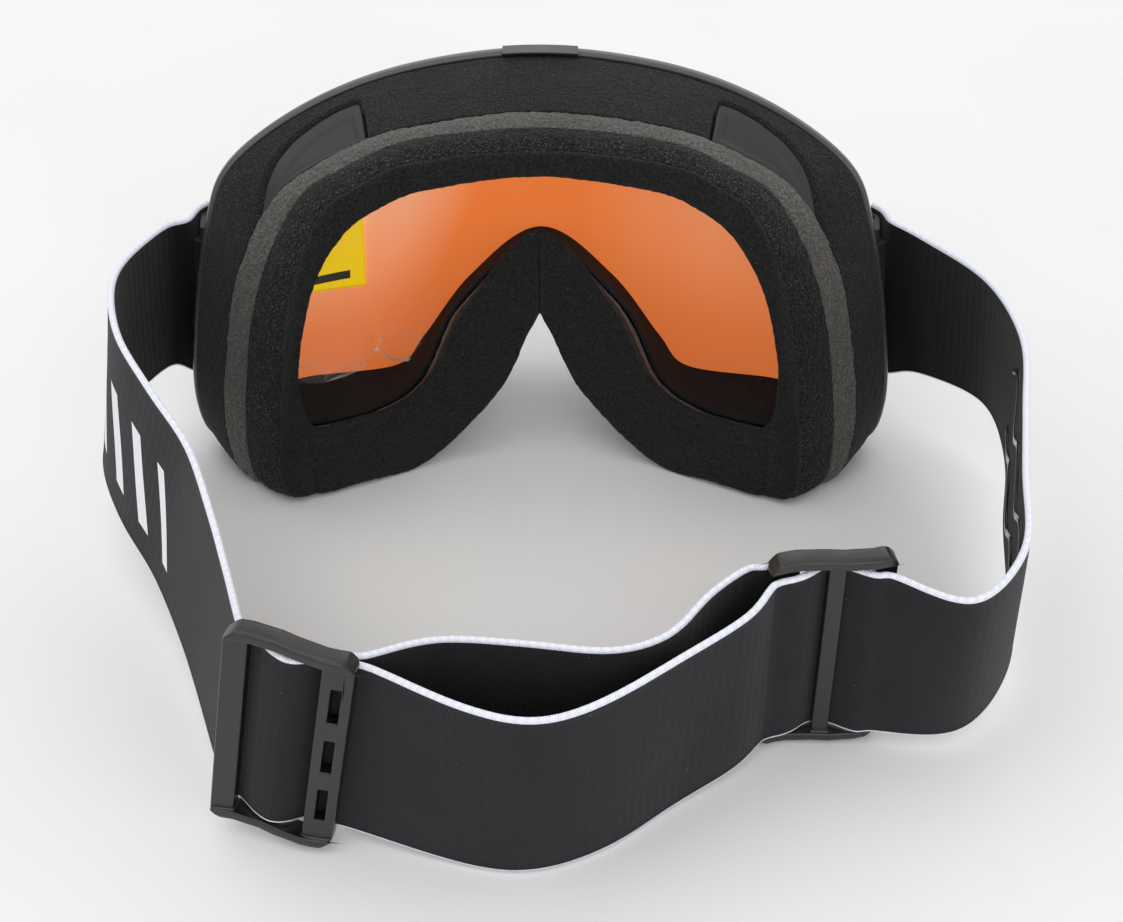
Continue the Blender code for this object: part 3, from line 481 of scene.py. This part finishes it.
def floor_paint():
    p = Paint('studio_sweep', 0.55)
    broad = p.noise(3.0, 3.0)
    faint = p.noise(40.0, 4.0)
    colour = p.mix(p.ramp(broad, 0.3, 0.7), (0.80, 0.795, 0.78), (0.86, 0.86, 0.85))
    colour = p.mix(p.ramp(faint, 0.62, 0.80, 0.0, 0.2), colour, (0.72, 0.71, 0.69))
    return p.finish(colour, None, None)


# ---------------------------------------------------------------- mesh helpers
def to_m(points):
    """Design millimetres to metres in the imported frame."""
    return (np.asarray(points, float) + np.array(SHIFT)) * MM


def new_piece(name, verts, faces, mat, smooth=True):
    mesh = bpy.data.meshes.new(name)
    mesh.from_pydata([tuple(v) for v in verts], [], [tuple(f) for f in faces])
    mesh.materials.append(mat)
    mesh.polygons.foreach_set('use_smooth', [smooth] * len(mesh.polygons))
    bm = bmesh.new()
    bm.from_mesh(mesh)
    bmesh.ops.recalc_face_normals(bm, faces=bm.faces)
    bm.to_mesh(mesh)
    bm.free()
    ob = bpy.data.objects.new(name, mesh)
    bpy.context.scene.collection.objects.link(ob)
    return ob


def grid_faces(n, m, wrap_n, wrap_m):
    rows = range(n if wrap_n else n - 1)
    cols = range(m if wrap_m else m - 1)
    return [(i * m + j, i * m + (j + 1) % m, (i + 1) % n * m + (j + 1) % m, (i + 1) % n * m + j)
            for i in rows for j in cols]


def roughen(ob, layers):
    """Push vertices along their normals with noise: (per mm, amplitude in mm)."""
    mesh = ob.data
    for vert, normal in zip(mesh.vertices, [v.normal.copy() for v in mesh.vertices]):
        move = 0.0
        for k, (per_mm, size) in enumerate(layers):
            spot = vert.co * (per_mm / MM) + Vector((17.0 * k, 3.0, 5.0))
            move += size * noise.noise(spot)
        vert.co += normal * (move * MM)


def unit(v):
    return v / np.maximum(np.linalg.norm(v, axis=-1, keepdims=True), 1e-9)


def wrap_y(x, centre=RIM_Y, radius=LENS_R):
    return centre - (radius - np.sqrt(radius * radius - x * x))


def closed_loop(half):
    """Mirror a half outline and sample it as a smooth closed loop."""
    pts = [Vector(p) for p in half]
    ring = pts + [Vector((-p.x, p.y, p.z)) for p in reversed(pts[1:-1])]
    counts = SEG + list(reversed(SEG))
    out = []
    for k in range(len(ring)):
        q = [ring[(k + j) % len(ring)] for j in (-1, 0, 1, 2)]
        steps = counts[k] * FINE
        out += [catmull(q[0], q[1], q[2], q[3], s / steps) for s in range(steps)]
    return np.array(out)


def inward(loop):
    d = np.roll(loop, -1, 0) - np.roll(loop, 1, 0)
    return unit(np.stack([d[:, 2], 0 * d[:, 0], -d[:, 0]], 1))


def inset(loop, dist, dy=0.0):
    out = loop + inward(loop) * dist
    out[:, 1] += dy
    return out


def on_wrap(loop, dist, dy):
    out = inset(loop, dist)
    out[:, 1] = wrap_y(out[:, 0]) + dy
    return out


def toward(a, b, dist):
    return a + unit(b - a) * dist


def lerp(a, b, t):
    return a + (b - a) * t


def ring_points(sections, radii, step):
    """Cross-sections with rounded corners, split to about step mm: (n, m, 3)."""
    shape = np.stack(sections, 1)
    m = shape.shape[1]
    runs = []
    for j in range(m):
        here, before, after = shape[:, j], shape[:, j - 1], shape[:, (j + 1) % m]
        room_a = np.linalg.norm(before - here, axis=1, keepdims=True)
        room_b = np.linalg.norm(after - here, axis=1, keepdims=True)
        a = here + unit(before - here) * np.minimum(radii[j], room_a * 0.48)
        b = here + unit(after - here) * np.minimum(radii[j], room_b * 0.48)
        count = max(4, int(math.ceil(2 * radii[j] / step)))
        ts = [k / count for k in range(count + 1)]
        runs.append([a * (1 - t) ** 2 + here * 2 * t * (1 - t) + b * t * t for t in ts])
    columns = []
    for j in range(m):
        columns += runs[j]
        last, first = runs[j][-1], runs[(j + 1) % m][0]
        gap = float(np.max(np.linalg.norm(first - last, axis=1)))
        count = int(gap / step)
        columns += [lerp(last, first, k / (count + 1)) for k in range(1, count + 1)]
    return np.stack(columns, 1)


def ring_piece(name, sections, radii, mat, step=1.0, layers=(), shape=None):
    pts = ring_points(sections, radii, step * (1.0))
    if shape is not None:
        pts = shape(pts)
    n, m = pts.shape[:2]
    ob = new_piece(name, to_m(pts.reshape(-1, 3)), grid_faces(n, m, True, True), mat)
    roughen(ob, layers)
    return ob


def settle(ob, body, slot, *nodes):
    """Ride on a body and stand for the CAD nodes, hiding them; slot is not used."""
    if body:
        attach(ob, body)
    if nodes:
        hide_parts(*nodes)
    return ob


# ---------------------------------------------------------------- frame and foams
def foam_depth(n):
    """Cover foam is thick over the brow and sides, thin under the lens."""
    s = np.minimum(np.arange(n), n - np.arange(n)) / FINE
    return 3.0 - 1.5 * np.clip((s - sum(SEG[:7])) / 1.5 + 0.5, 0.0, 1.0)


def pad_edge(s):
    """Height on the wall, 0 rim to 1 foam, where a brow pad begins."""
    at = [PAD_FIRST - 0.1, PAD_FIRST + 0.15] + [PAD_FIRST + k for k in range(1, 8)]
    return np.interp(s, at, PAD_SHAPE, left=1.2, right=1.2)


def wall(rim, flange, t, depth, bulge=0.5):
    """Point loop on the outer wall of the frame, t from rim to foam."""
    p = lerp(rim, flange, np.asarray(t).reshape(-1, 1))
    push = depth - bulge * np.sin(math.pi * np.asarray(t))
    return p + inward(rim) * np.asarray(push).reshape(-1, 1)


def build_cover(paints, rim, flange):
    """Foam sheet over the frame's rear wall, with the brow pads let into it."""
    n = len(rim)
    s = np.minimum(np.arange(n), n - np.arange(n)) / FINE
    steps = 44
    edge = pad_edge(s)
    columns = []
    for k in range(steps + 1):
        t = 0.018 + 0.972 * k / steps
        lip = max(0.0, 1.0 - (t - 0.018) / 0.035)
        sunk = np.clip((t - edge) / 0.03 + 0.5, 0.0, 1.0) * 2.2
        columns.append(wall(rim, flange, np.full(n, t), 0.30 + 1.1 * lip ** 2 + sunk))
    back = foam_depth(n) + 0.3
    columns.append(wall(rim, flange, np.full(n, 0.98), np.maximum(back, 2.7)))
    columns.append(wall(rim, flange, np.full(n, 0.02), back))
    pts = np.stack(columns, 1)
    ob = new_piece('cover_foam', to_m(pts.reshape(-1, 3)), grid_faces(n, steps + 3, True, True),
                   paints['cover'])
    roughen(ob, [(0.9, 0.12), (0.22, 0.10), (0.05, 0.15)])
    settle(ob, ROOT, 'cover_foam')


def build_pad(paints, rim, flange, name, sign):
    """Smooth moulded pad with a shallow sunken panel."""
    cols = 64
    rows = 30
    n = len(rim)
    spans = np.linspace(PAD_FIRST + 0.02, PAD_FIRST + 6.6, cols)
    index = spans * FINE * sign
    low = np.floor(index).astype(int)
    part = (index - low).reshape(-1, 1)
    side = [lerp(loop[low % n], loop[(low + 1) % n], part) for loop in (rim, flange)]
    facing = unit(lerp(inward(rim)[low % n], inward(rim)[(low + 1) % n], part))
    start = np.minimum(pad_edge(spans) + 0.028, 0.95)
    grid = np.zeros((cols, rows, 3))
    length = np.linalg.norm(side[1] - side[0], axis=1)
    for j in range(rows):
        t = lerp(start, 0.985, j / (rows - 1))
        from_edge = np.minimum((t - start) * length, (spans - PAD_FIRST) * 7.5)
        from_edge = np.minimum(from_edge, (0.985 - t) * length + 2.4)
        panel = np.clip((from_edge - 3.2) / 1.6, 0, 1)
        panel = panel * panel * (3 - 2 * panel)
        lip = np.clip(1.0 - from_edge / 0.9, 0, 1) ** 2
        push = 0.55 + 0.55 * panel + 0.8 * lip - 0.5 * np.sin(math.pi * t)
        p = lerp(side[0], side[1], t.reshape(-1, 1))
        grid[:, j] = p + facing * push.reshape(-1, 1)
    ob = new_piece('brow_pad_' + name + '_moulding', to_m(grid.reshape(-1, 3)),
                   grid_faces(cols, rows, False, False), paints['pad'])
    flip_to(ob, -facing.mean(0))
    thicken(ob, PAD_T)
    settle(ob, ROOT, 'brow_pad', 'brow_pad_' + name)


def flip_to(ob, outward):
    """Turn the faces of an open sheet so that they look along outward."""
    mesh = ob.data
    total = Vector((0, 0, 0))
    for face in mesh.polygons:
        total += face.normal * face.area
    if total.dot(Vector(outward)) < 0:
        mesh.flip_normals()


def thicken(ob, depth):
    """Give an open sheet a thickness in mm, behind its faces."""
    solid = ob.modifiers.new('thickness', 'SOLIDIFY')
    solid.thickness = depth * MM
    solid.offset = -1.0


def build_rim(paints, rim):
    """Glossy lip of the frame, seen as a thin bright line round the foam."""
    sections = [inset(rim, 1.1, -0.10), inset(rim, 0.1, -0.30), inset(rim, -0.40, 0.2),
                inset(rim, -0.55, LIP * 0.55), inset(rim, -0.35, LIP + 0.05),
                on_wrap(rim, 0.6, LIP + 0.35), on_wrap(rim, 1.3, LIP + 0.05),
                on_wrap(rim, 1.3, SEAT + 0.2)]
    radii = [0.2, 0.4, 0.5, 1.0, 0.5, 0.4, 0.3, 0.2]
    ob = ring_piece('frame_rim', sections, radii, paints['rim'], 0.8)
    settle(ob, ROOT, 'frame_tpu')


def pinch(pts):
    """Sharpen the nose notch to a point."""
    x, z = pts[..., 0], pts[..., 2]
    pts[..., 2] += 3.4 * np.exp(-np.abs(x) / 2.6) * np.clip((50 - z) / 8, 0, 1)
    return pts


def groove(pts):
    """Sewn seam at the nose apex and soft folds over the lower corners."""
    x, z = pts[..., 0], pts[..., 2]
    depth = 1.7 * np.exp(-(x / 0.60) ** 2) * np.clip((70 - z) / 8, 0, 1)
    near = np.exp(-((np.abs(x) - 59.5) / 1.3) ** 2) * np.clip((26 - z) / 8, 0, 1)
    pts[..., 1] += depth + 0.7 * near
    return pinch(pts)


def build_liner(paints, flange_in):
    """Dark mesh foam lining the frame's inner wall, behind the vents."""
    ledge = closed_loop([(x, float(wrap_y(x, INNER_Y, INNER_R)) - LEDGE_GAP, z) for x, z in LENS_OPEN])
    near, far = lerp(ledge, flange_in, 0.04), lerp(ledge, flange_in, 0.97)
    steps = 14
    columns = []
    for side in (0.25, 1.15):
        run = [lerp(near, far, k / steps) for k in range(steps + 1)]
        rows = [inset(row, side) for row in run]
        columns += rows if side < 1 else rows[::-1]
    pts = np.stack(columns, 1)
    n, m = pts.shape[:2]
    ob = new_piece('vent_mesh_liner', to_m(pts.reshape(-1, 3)), grid_faces(n, m, True, True),
                   paints['liner'])
    settle(ob, ROOT, 'cover_foam', 'vent_foam_upper', 'vent_foam_lower_left',
           'vent_foam_lower_right')


def build_face_foam(paints, flange, flange_in, mid, face_out, face_in):
    mid_in = lerp(flange_in, face_in, 0.42)
    g0, g0i = toward(flange, mid, 0.3), toward(flange_in, face_in, 0.3)
    g1, g1i = toward(mid, flange, 0.05), toward(mid_in, flange_in, 0.05)
    swell = inset(lerp(g0, g1, 0.5), -0.5)
    ob = ring_piece('foam_layer_grey', [g0, swell, g1, g1i, lerp(g1i, g0i, 0.5), g0i],
                    [0.5, 3.5, 0.4, 0.4, 2.0, 0.4], paints['grey'], 0.9,
                    [(1.1, 0.28), (0.28, 0.20), (0.06, 0.2)], pinch)
    settle(ob, ROOT, 'foam_grey', 'face_foam_base')
    b0, b0i = toward(mid, face_out, 0.05), toward(mid_in, face_in, 0.05)
    b1, b1i = toward(face_out, mid, 1.2), toward(face_in, mid_in, 1.5)
    bulge = inset(lerp(b0, b1, 0.5), -1.0)
    ob = ring_piece('foam_layer_black', [b0, bulge, b1, lerp(b1, b1i, 0.5), b1i,
                                         lerp(b1i, b0i, 0.5), b0i],
                    [0.4, 4.5, 0.8, 1.0, 0.6, 2.0, 0.4], paints['black'], 0.9,
                    [(1.1, 0.26), (0.3, 0.20), (0.07, 0.2)], pinch)
    settle(ob, ROOT, 'foam_black', 'face_foam_top')
    f0, f0i = toward(face_out, mid, 1.3), toward(face_in, mid_in, 1.3)
    crown = lerp(face_out, face_in, 0.5) + np.array([0, -0.7, 0])
    floor_mid = lerp(f0, f0i, 0.5) + np.array([0, 0.02, 0])
    ob = ring_piece('fleece_face', [f0, face_out, crown, face_in, f0i, floor_mid],
                    [0.3, 1.2, 5.0, 1.2, 0.3, 1.0], paints['fleece'], 0.8,
                    [(0.9, 0.16), (0.16, 0.20), (0.05, 0.2)],
                    groove)
    settle(ob, ROOT, 'fleece', 'face_fleece')


def sheet_grid(corners, columns, rows, depth):
    """Grid over the inner lens between four (x, z) corners; depth(u, v, x, z)."""
    (xa, za), (xb, zb), (xc, zc), (xd, zd) = corners
    verts, uvs = [], []
    for i in range(columns + 1):
        for j in range(rows + 1):
            u, v = i / columns, j / rows
            x = (xa * (1 - u) + xb * u) * (1 - v) + (xd * (1 - u) + xc * u) * v
            z = (za * (1 - u) + zb * u) * (1 - v) + (zd * (1 - u) + zc * u) * v
            lift, drop = depth(u, v, x, z)
            y = wrap_y(x, INNER_Y, INNER_R) - lift
            verts.append((x, y, z + drop))
            uvs.append((u, v))
    return verts, uvs


def set_uv(ob, uvs):
    layer = ob.data.uv_layers.new(name='UVMap')
    for loop in ob.data.loops:
        layer.data[loop.index].uv = uvs[loop.vertex_index]


def film_lift(u, v, x, z):
    """Flat on the lens above, loose and rippled along the bottom edge."""
    loose = max(0.0, (v - 0.72) / 0.28)
    ripple = math.sin(u * 21.0 + 1.2 * math.sin(u * 7.0)) * 1.5
    peak = math.exp(-((x - PEAK_X) / PEAK_W) ** 2) * 4.0
    tall = math.exp(-((x - PEAK_X) / PEAK_W) ** 2) * 10.5 * loose
    wave = 0.6 * noise.noise(Vector((x * 0.09, z * 0.09, 2.0)))
    return 0.55 + max(wave, -0.1) * 0.4 + loose ** 1.4 * (4.0 + ripple + peak), tall


def build_film(paints):
    verts, uvs = sheet_grid(FILM, 90, 70, film_lift)
    ob = new_piece('peel_film', to_m(verts), grid_faces(91, 71, False, False), paints['film'])
    set_uv(ob, uvs)
    settle(ob, ROOT, 'film', 'protective_film')
    verts, uvs = sheet_grid(LABEL, 24, 24, lambda u, v, x, z: (1.0, 0.0))
    ob = new_piece('film_label_print', to_m(verts), grid_faces(25, 25, False, False),
                   paints['label'])
    flip_to(ob, (0, -1, 0))
    set_uv(ob, uvs)
    thicken(ob, LABEL_T)
    settle(ob, ROOT, 'label', 'film_label')


def build_frame(paints):
    rim = closed_loop([(x, float(wrap_y(x)), z) for x, z in RIM])
    loops = [closed_loop(t) for t in (FLANGE, FLANGE_IN, FOAM_MID, FACE_OUT, FACE_IN)]
    flange, flange_in, mid, face_out, face_in = loops
    build_cover(paints, rim, flange)
    build_pad(paints, rim, flange, 'right', 1)
    build_pad(paints, rim, flange, 'left', -1)
    build_rim(paints, rim)
    build_liner(paints, flange_in)
    build_face_foam(paints, flange, flange_in, mid, face_out, face_in)
    build_film(paints)


# ---------------------------------------------------------------- straps
def chaikin(points):
    out = [points[0]]
    for a, b in zip(points[:-1], points[1:]):
        out += [lerp(a, b, 0.25), lerp(a, b, 0.75)]
    return np.array(out + [points[-1]])


def strap_line(stations):
    """Smooth top and bottom edges: arrays (k, 3), and the length run in mm."""
    pairs = np.array([[tuple(a), tuple(b)] for a, b in stations])
    for _ in range(2):
        pairs = chaikin(pairs)
    middle = pairs.mean(1)
    run = np.concatenate([[0.0], np.cumsum(np.linalg.norm(np.diff(middle, axis=0), axis=1))])
    count = int(run[-1] / (0.9))
    want = np.linspace(0, run[-1], count)
    edges = [np.stack([np.interp(want, run, pairs[:, e, k]) for k in range(3)], 1)
             for e in (0, 1)]
    return edges[0], edges[1], want


def strap_profile():
    """Cross-section (across, out) in mm: flat faces and slightly fuller selvedges."""
    ws = np.linspace(-HALF_W + 1.2, HALF_W - 1.2, 26)
    turn = [math.radians(110 - 220 * k / 8) for k in range(9)]
    ends = [(HALF_W - CORD_H + CORD_H * math.cos(a), CORD_H * math.sin(a)) for a in turn]
    pts = [(w, FLAT_H) for w in ws] + ends + [(w, -FLAT_H) for w in reversed(ws)]
    return pts + [(-w, -h) for w, h in ends]


def strap_frames(top, low):
    up = unit(top - low)
    mid = 0.5 * (top + low)
    along = unit(np.gradient(mid, axis=0))
    return mid, up, unit(np.cross(along, up))


def nearest(mid, point):
    return int(np.argmin(np.linalg.norm(mid - np.array(point), axis=1)))


def close_ends(ob, count, m):
    """Cap a tube of count rings of m points, with sharp edges at the caps."""
    bm = bmesh.new()
    bm.from_mesh(ob.data)
    bm.verts.ensure_lookup_table()
    for start in (0, (count - 1) * m):
        cap = bm.faces.new([bm.verts[start + j] for j in range(m)])
        for edge in cap.edges:
            edge.smooth = False
    bmesh.ops.recalc_face_normals(bm, faces=bm.faces)
    bm.to_mesh(ob.data)
    bm.free()


def ribbon(name, line, first, last, mat, sign):
    """Webbing between two sample indices, with its selvedges and UV in mm."""
    top, low, run = line
    mid, up, out = strap_frames(top, low)
    profile = strap_profile()
    m = len(profile)
    picked = range(first, last + 1)
    verts, uvs = [], []
    for k in picked:
        for w, h in profile:
            spot = mid[k] + up[k] * w
            wave = 0.12 * noise.noise(Vector(spot * 0.05))
            verts.append(spot + out[k] * (h + wave))
            uvs.append((w, run[k]))
    ob = new_piece(name, to_m(verts), grid_faces(len(picked), m, False, True), mat)
    close_ends(ob, len(picked), m)
    set_uv(ob, uvs)
    mark = ob.data.attributes.new('outer_face', 'FLOAT', 'POINT')
    flags = [1.0 if h * sign > 0.3 else 0.0 for _ in picked for w, h in profile]
    mark.data.foreach_set('value', flags)
    return ob


def cross(ob, slot, node):
    """Bake the piece's place into its mesh and hide the CAD node it stands for."""
    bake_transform(ob)
    settle(ob, None, slot, node)


def grip_wave(name, line, first, last, height, phase, sign, mat):
    """Raised glossy silicone line on the strap's inner face."""
    top, low, run = line
    mid, up, out = strap_frames(top, low)
    verts = []
    profile = [(-1.35, -0.1), (-1.15, 0.32), (-0.6, 0.58), (0, 0.66), (0.6, 0.58), (1.15, 0.32),
               (1.35, -0.1)]
    m = len(profile)
    for k in range(first, last + 1):
        s = run[k] - run[first]
        centre = height + phase * GRIP_SWING * math.sin(s * GRIP_TURN)
        for w, h in profile:
            verts.append(mid[k] + up[k] * (centre + w) - out[k] * sign * (FLAT_H + h))
    count = last + 1 - first
    ob = new_piece(name, to_m(verts), grid_faces(count, m, False, True), mat)
    close_ends(ob, count, m)
    return ob


def build_straps(paints):
    paths = strap_paths()
    for name, other, centre in (('left', 'right', SL_A[0]), ('right', 'left', SL_B[0])):
        line = strap_line(paths[name])
        mid = 0.5 * (line[0] + line[1])
        marks = [HALFWAY[name], centre, END_CUT[name]]
        cuts = [0] + [nearest(mid, p) for p in marks] + [len(mid) - 1]
        pace = line[2][1] - line[2][0]
        near, far = int(BEND_NEAR / pace), int(BEND_FAR / pace)
        slider = name + '_slider'
        spans = [('clip', name + '_clip', ROOT, near // 2, cuts[1]),
                 ('side', ROOT, slider, cuts[2] - far, cuts[2] - near),
                 ('middle', slider, ROOT, cuts[2] + near, cuts[3]),
                 ('end', ROOT, other + '_slider', cuts[3], cuts[4] - near)]
        for k, (part, a, b, start, end) in enumerate(spans):
            mat = paints['printed'] if name == 'left' and part in PRINT_PARTS else paints['strap']
            ob = ribbon('strap_%s_%s' % (name, part), line, cuts[k], cuts[k + 1], mat,
                        OUTER_SIGN[name])
            cross(ob, 'webbing', 'strap_' + name)
        for level, height, phase in GRIPS:
            wave = grip_wave('grip_%s_%s' % (name, level), line, cuts[1], cuts[2] - near,
                             height, phase, OUTER_SIGN[name], paints['grip'])
            cross(wave, 'silicone',
                  'grip_wave_%s_%s' % (name, level))


# ---------------------------------------------------------------- CAD nodes that stay
def dress(node, mat, bevel=0.0, segments=3):
    """New material and softened edges on a CAD node that keeps its shape."""
    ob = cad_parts[node]
    ob.data.materials.clear()
    ob.data.materials.append(mat)
    old = ob.data.attributes.get('custom_normal')
    if old is not None:
        ob.data.attributes.remove(old)
    ob.data.polygons.foreach_set('use_smooth', [True] * len(ob.data.polygons))
    weld = ob.modifiers.new('weld', 'WELD')
    weld.merge_threshold = 1e-5
    if bevel:
        edge = ob.modifiers.new('edges', 'BEVEL')
        edge.width = bevel * MM
        edge.segments = segments
        edge.limit_method = 'ANGLE'
        edge.angle_limit = math.radians(32)
        edge.use_clamp_overlap = True
    normal = ob.modifiers.new('normals', 'WEIGHTED_NORMAL')
    normal.keep_sharp = False
    return ob


def build_dressed(paints):
    dress('frame_shell', paints['tpu'], 0.25)
    dress('outer_lens', paints['outer'], 0.2)
    dress('inner_lens', paints['lens'])
    dress('lens_spacer_gasket', paints['spacer'])
    dress('brow_plate', paints['badge'], 0.22)
    for side in ('left', 'right'):
        dress('slider_' + side, paints['slider'], 0.45, 4)
        dress('strap_clip_' + side, paints['clip'], 0.3)
        dress('hinge_pin_' + side, paints['steel'], 0.15)
        for level in ('upper', 'lower'):
            dress('hinge_lug_%s_%s' % (side, level), paints['tpu'], 0.25)


# ---------------------------------------------------------------- studio
def area_light(name, place, aim, size, power, colour):
    data = bpy.data.lights.new(name, 'AREA')
    data.shape = 'RECTANGLE'
    data.size, data.size_y = size
    data.energy = power
    data.color = colour
    ob = bpy.data.objects.new(name, data)
    ob.location = place
    ob.rotation_euler = (Vector(aim) - Vector(place)).to_track_quat('-Z', 'Y').to_euler()
    bpy.context.scene.collection.objects.link(ob)


def build_studio():
    mesh = bpy.data.meshes.new('floor')
    corners = [(-1, -1), (1, -1), (1, 1), (-1, 1)]
    pts = [(x * FLOOR_FAR, y * FLOOR_FAR, FLOOR_Z) for x, y in corners]
    mesh.from_pydata(pts, [], [(0, 1, 2, 3)])
    mesh.materials.append(floor_paint())
    ob = bpy.data.objects.new('floor', mesh)
    bpy.context.scene.collection.objects.link(ob)
    area_light('key', (-0.35, 0.10, 1.25), (0, 0, 0), (1.1, 1.1), KEY, (1.0, 0.995, 0.98))
    area_light('front', (0.25, -1.1, 0.85), (0, 0, 0.03), (1.2, 0.8), FRONT, (1.0, 1.0, 1.0))
    area_light('back', (0.2, 1.3, 0.75), (0, 0, 0.05), (1.6, 0.6), BACK, (0.98, 0.99, 1.0))
    world = bpy.data.worlds.new('studio')
    world.use_nodes = True
    back = world.node_tree.nodes['Background']
    back.inputs['Color'].default_value = (0.93, 0.94, 0.95, 1.0)
    back.inputs['Strength'].default_value = WORLD
    bpy.context.scene.world = world
    bpy.context.scene.view_settings.view_transform = 'Standard'


def build_camera():
    data = bpy.data.cameras.new('camera')
    data.lens = 50.0
    data.sensor_width = 36.0
    data.clip_start = 0.01
    ob = bpy.data.objects.new('camera', data)
    ob.location = CAMERA_AT
    ob.rotation_euler = [math.radians(a) for a in CAMERA_TURN]
    bpy.context.scene.collection.objects.link(ob)
    bpy.context.scene.camera = ob


# ---------------------------------------------------------------- finishes and order
def build_paints():
    return {
        'cover': foam_paint('cover_foam_fine', (0.0035, 0.0035, 0.0036), (0.0205, 0.0205, 0.0205),
                            (0.085, 0.085, 0.085), 2300.0, 0.62, 0.08),
        'grey': foam_paint('face_foam_grey', (0.045, 0.0418, 0.0375), (0.134, 0.1255, 0.114),
                           (0.34, 0.32, 0.29), 1500.0, 0.70, 0.15),
        'black': foam_paint('face_foam_black', (0.002, 0.002, 0.002), (0.0195, 0.019, 0.0185),
                            (0.10, 0.10, 0.10), 1500.0, 0.61, 0.05),
        'spacer': foam_paint('spacer_foam_closed', (0.012, 0.012, 0.012), (0.04, 0.04, 0.04),
                             (0.1, 0.1, 0.1), 2600.0, 0.8, 0.0),
        'liner': foam_paint('vent_foam_mesh', (0.010, 0.014, 0.017), (0.034, 0.046, 0.052),
                            (0.05, 0.05, 0.05), 3000.0, 0.80, 0.0),
        'fleece': fleece_paint(),
        'pad': moulded_paint('pad_satin', (0.0092, 0.0094, 0.0094), (0.013, 0.0132, 0.0132), 0.48,
                             2600.0),
        'rim': moulded_paint('rim_olive', (0.032, 0.032, 0.026), (0.044, 0.044, 0.036), 0.26,
                             2000.0, 0.3),
        'tpu': moulded_paint('tpu_satin', (0.007, 0.007, 0.007), (0.012, 0.012, 0.0125), 0.50,
                             2200.0),
        'outer': moulded_paint('lens_tint', (0.006, 0.0065, 0.005), (0.009, 0.0095, 0.0075), 0.07,
                               400.0, 1.0, 0.000005),
        'badge': moulded_paint('badge_gloss', (0.004, 0.004, 0.004), (0.007, 0.007, 0.007), 0.32,
                               1500.0, 0.1, 0.00002),
        'slider': moulded_paint('slider_satin', (0.0045, 0.0046, 0.0044), (0.009, 0.0092, 0.0088),
                                0.30, 2400.0, 0.25),
        'clip': moulded_paint('clip_satin', (0.007, 0.007, 0.007), (0.011, 0.011, 0.011), 0.50,
                              2400.0),
        'grip': moulded_paint('silicone_gloss', (0.010, 0.010, 0.011), (0.016, 0.016, 0.017),
                              0.20, 1500.0, 0.4),
        'steel': steel_paint(),
        'lens': lens_paint(),
        'film': film_paint(),
        'label': label_paint(),
        'strap': webbing_paint(False),
        'printed': webbing_paint(True),
    }


paints = build_paints()
build_studio()
build_camera()
build_frame(paints)
build_straps(paints)
build_dressed(paints)
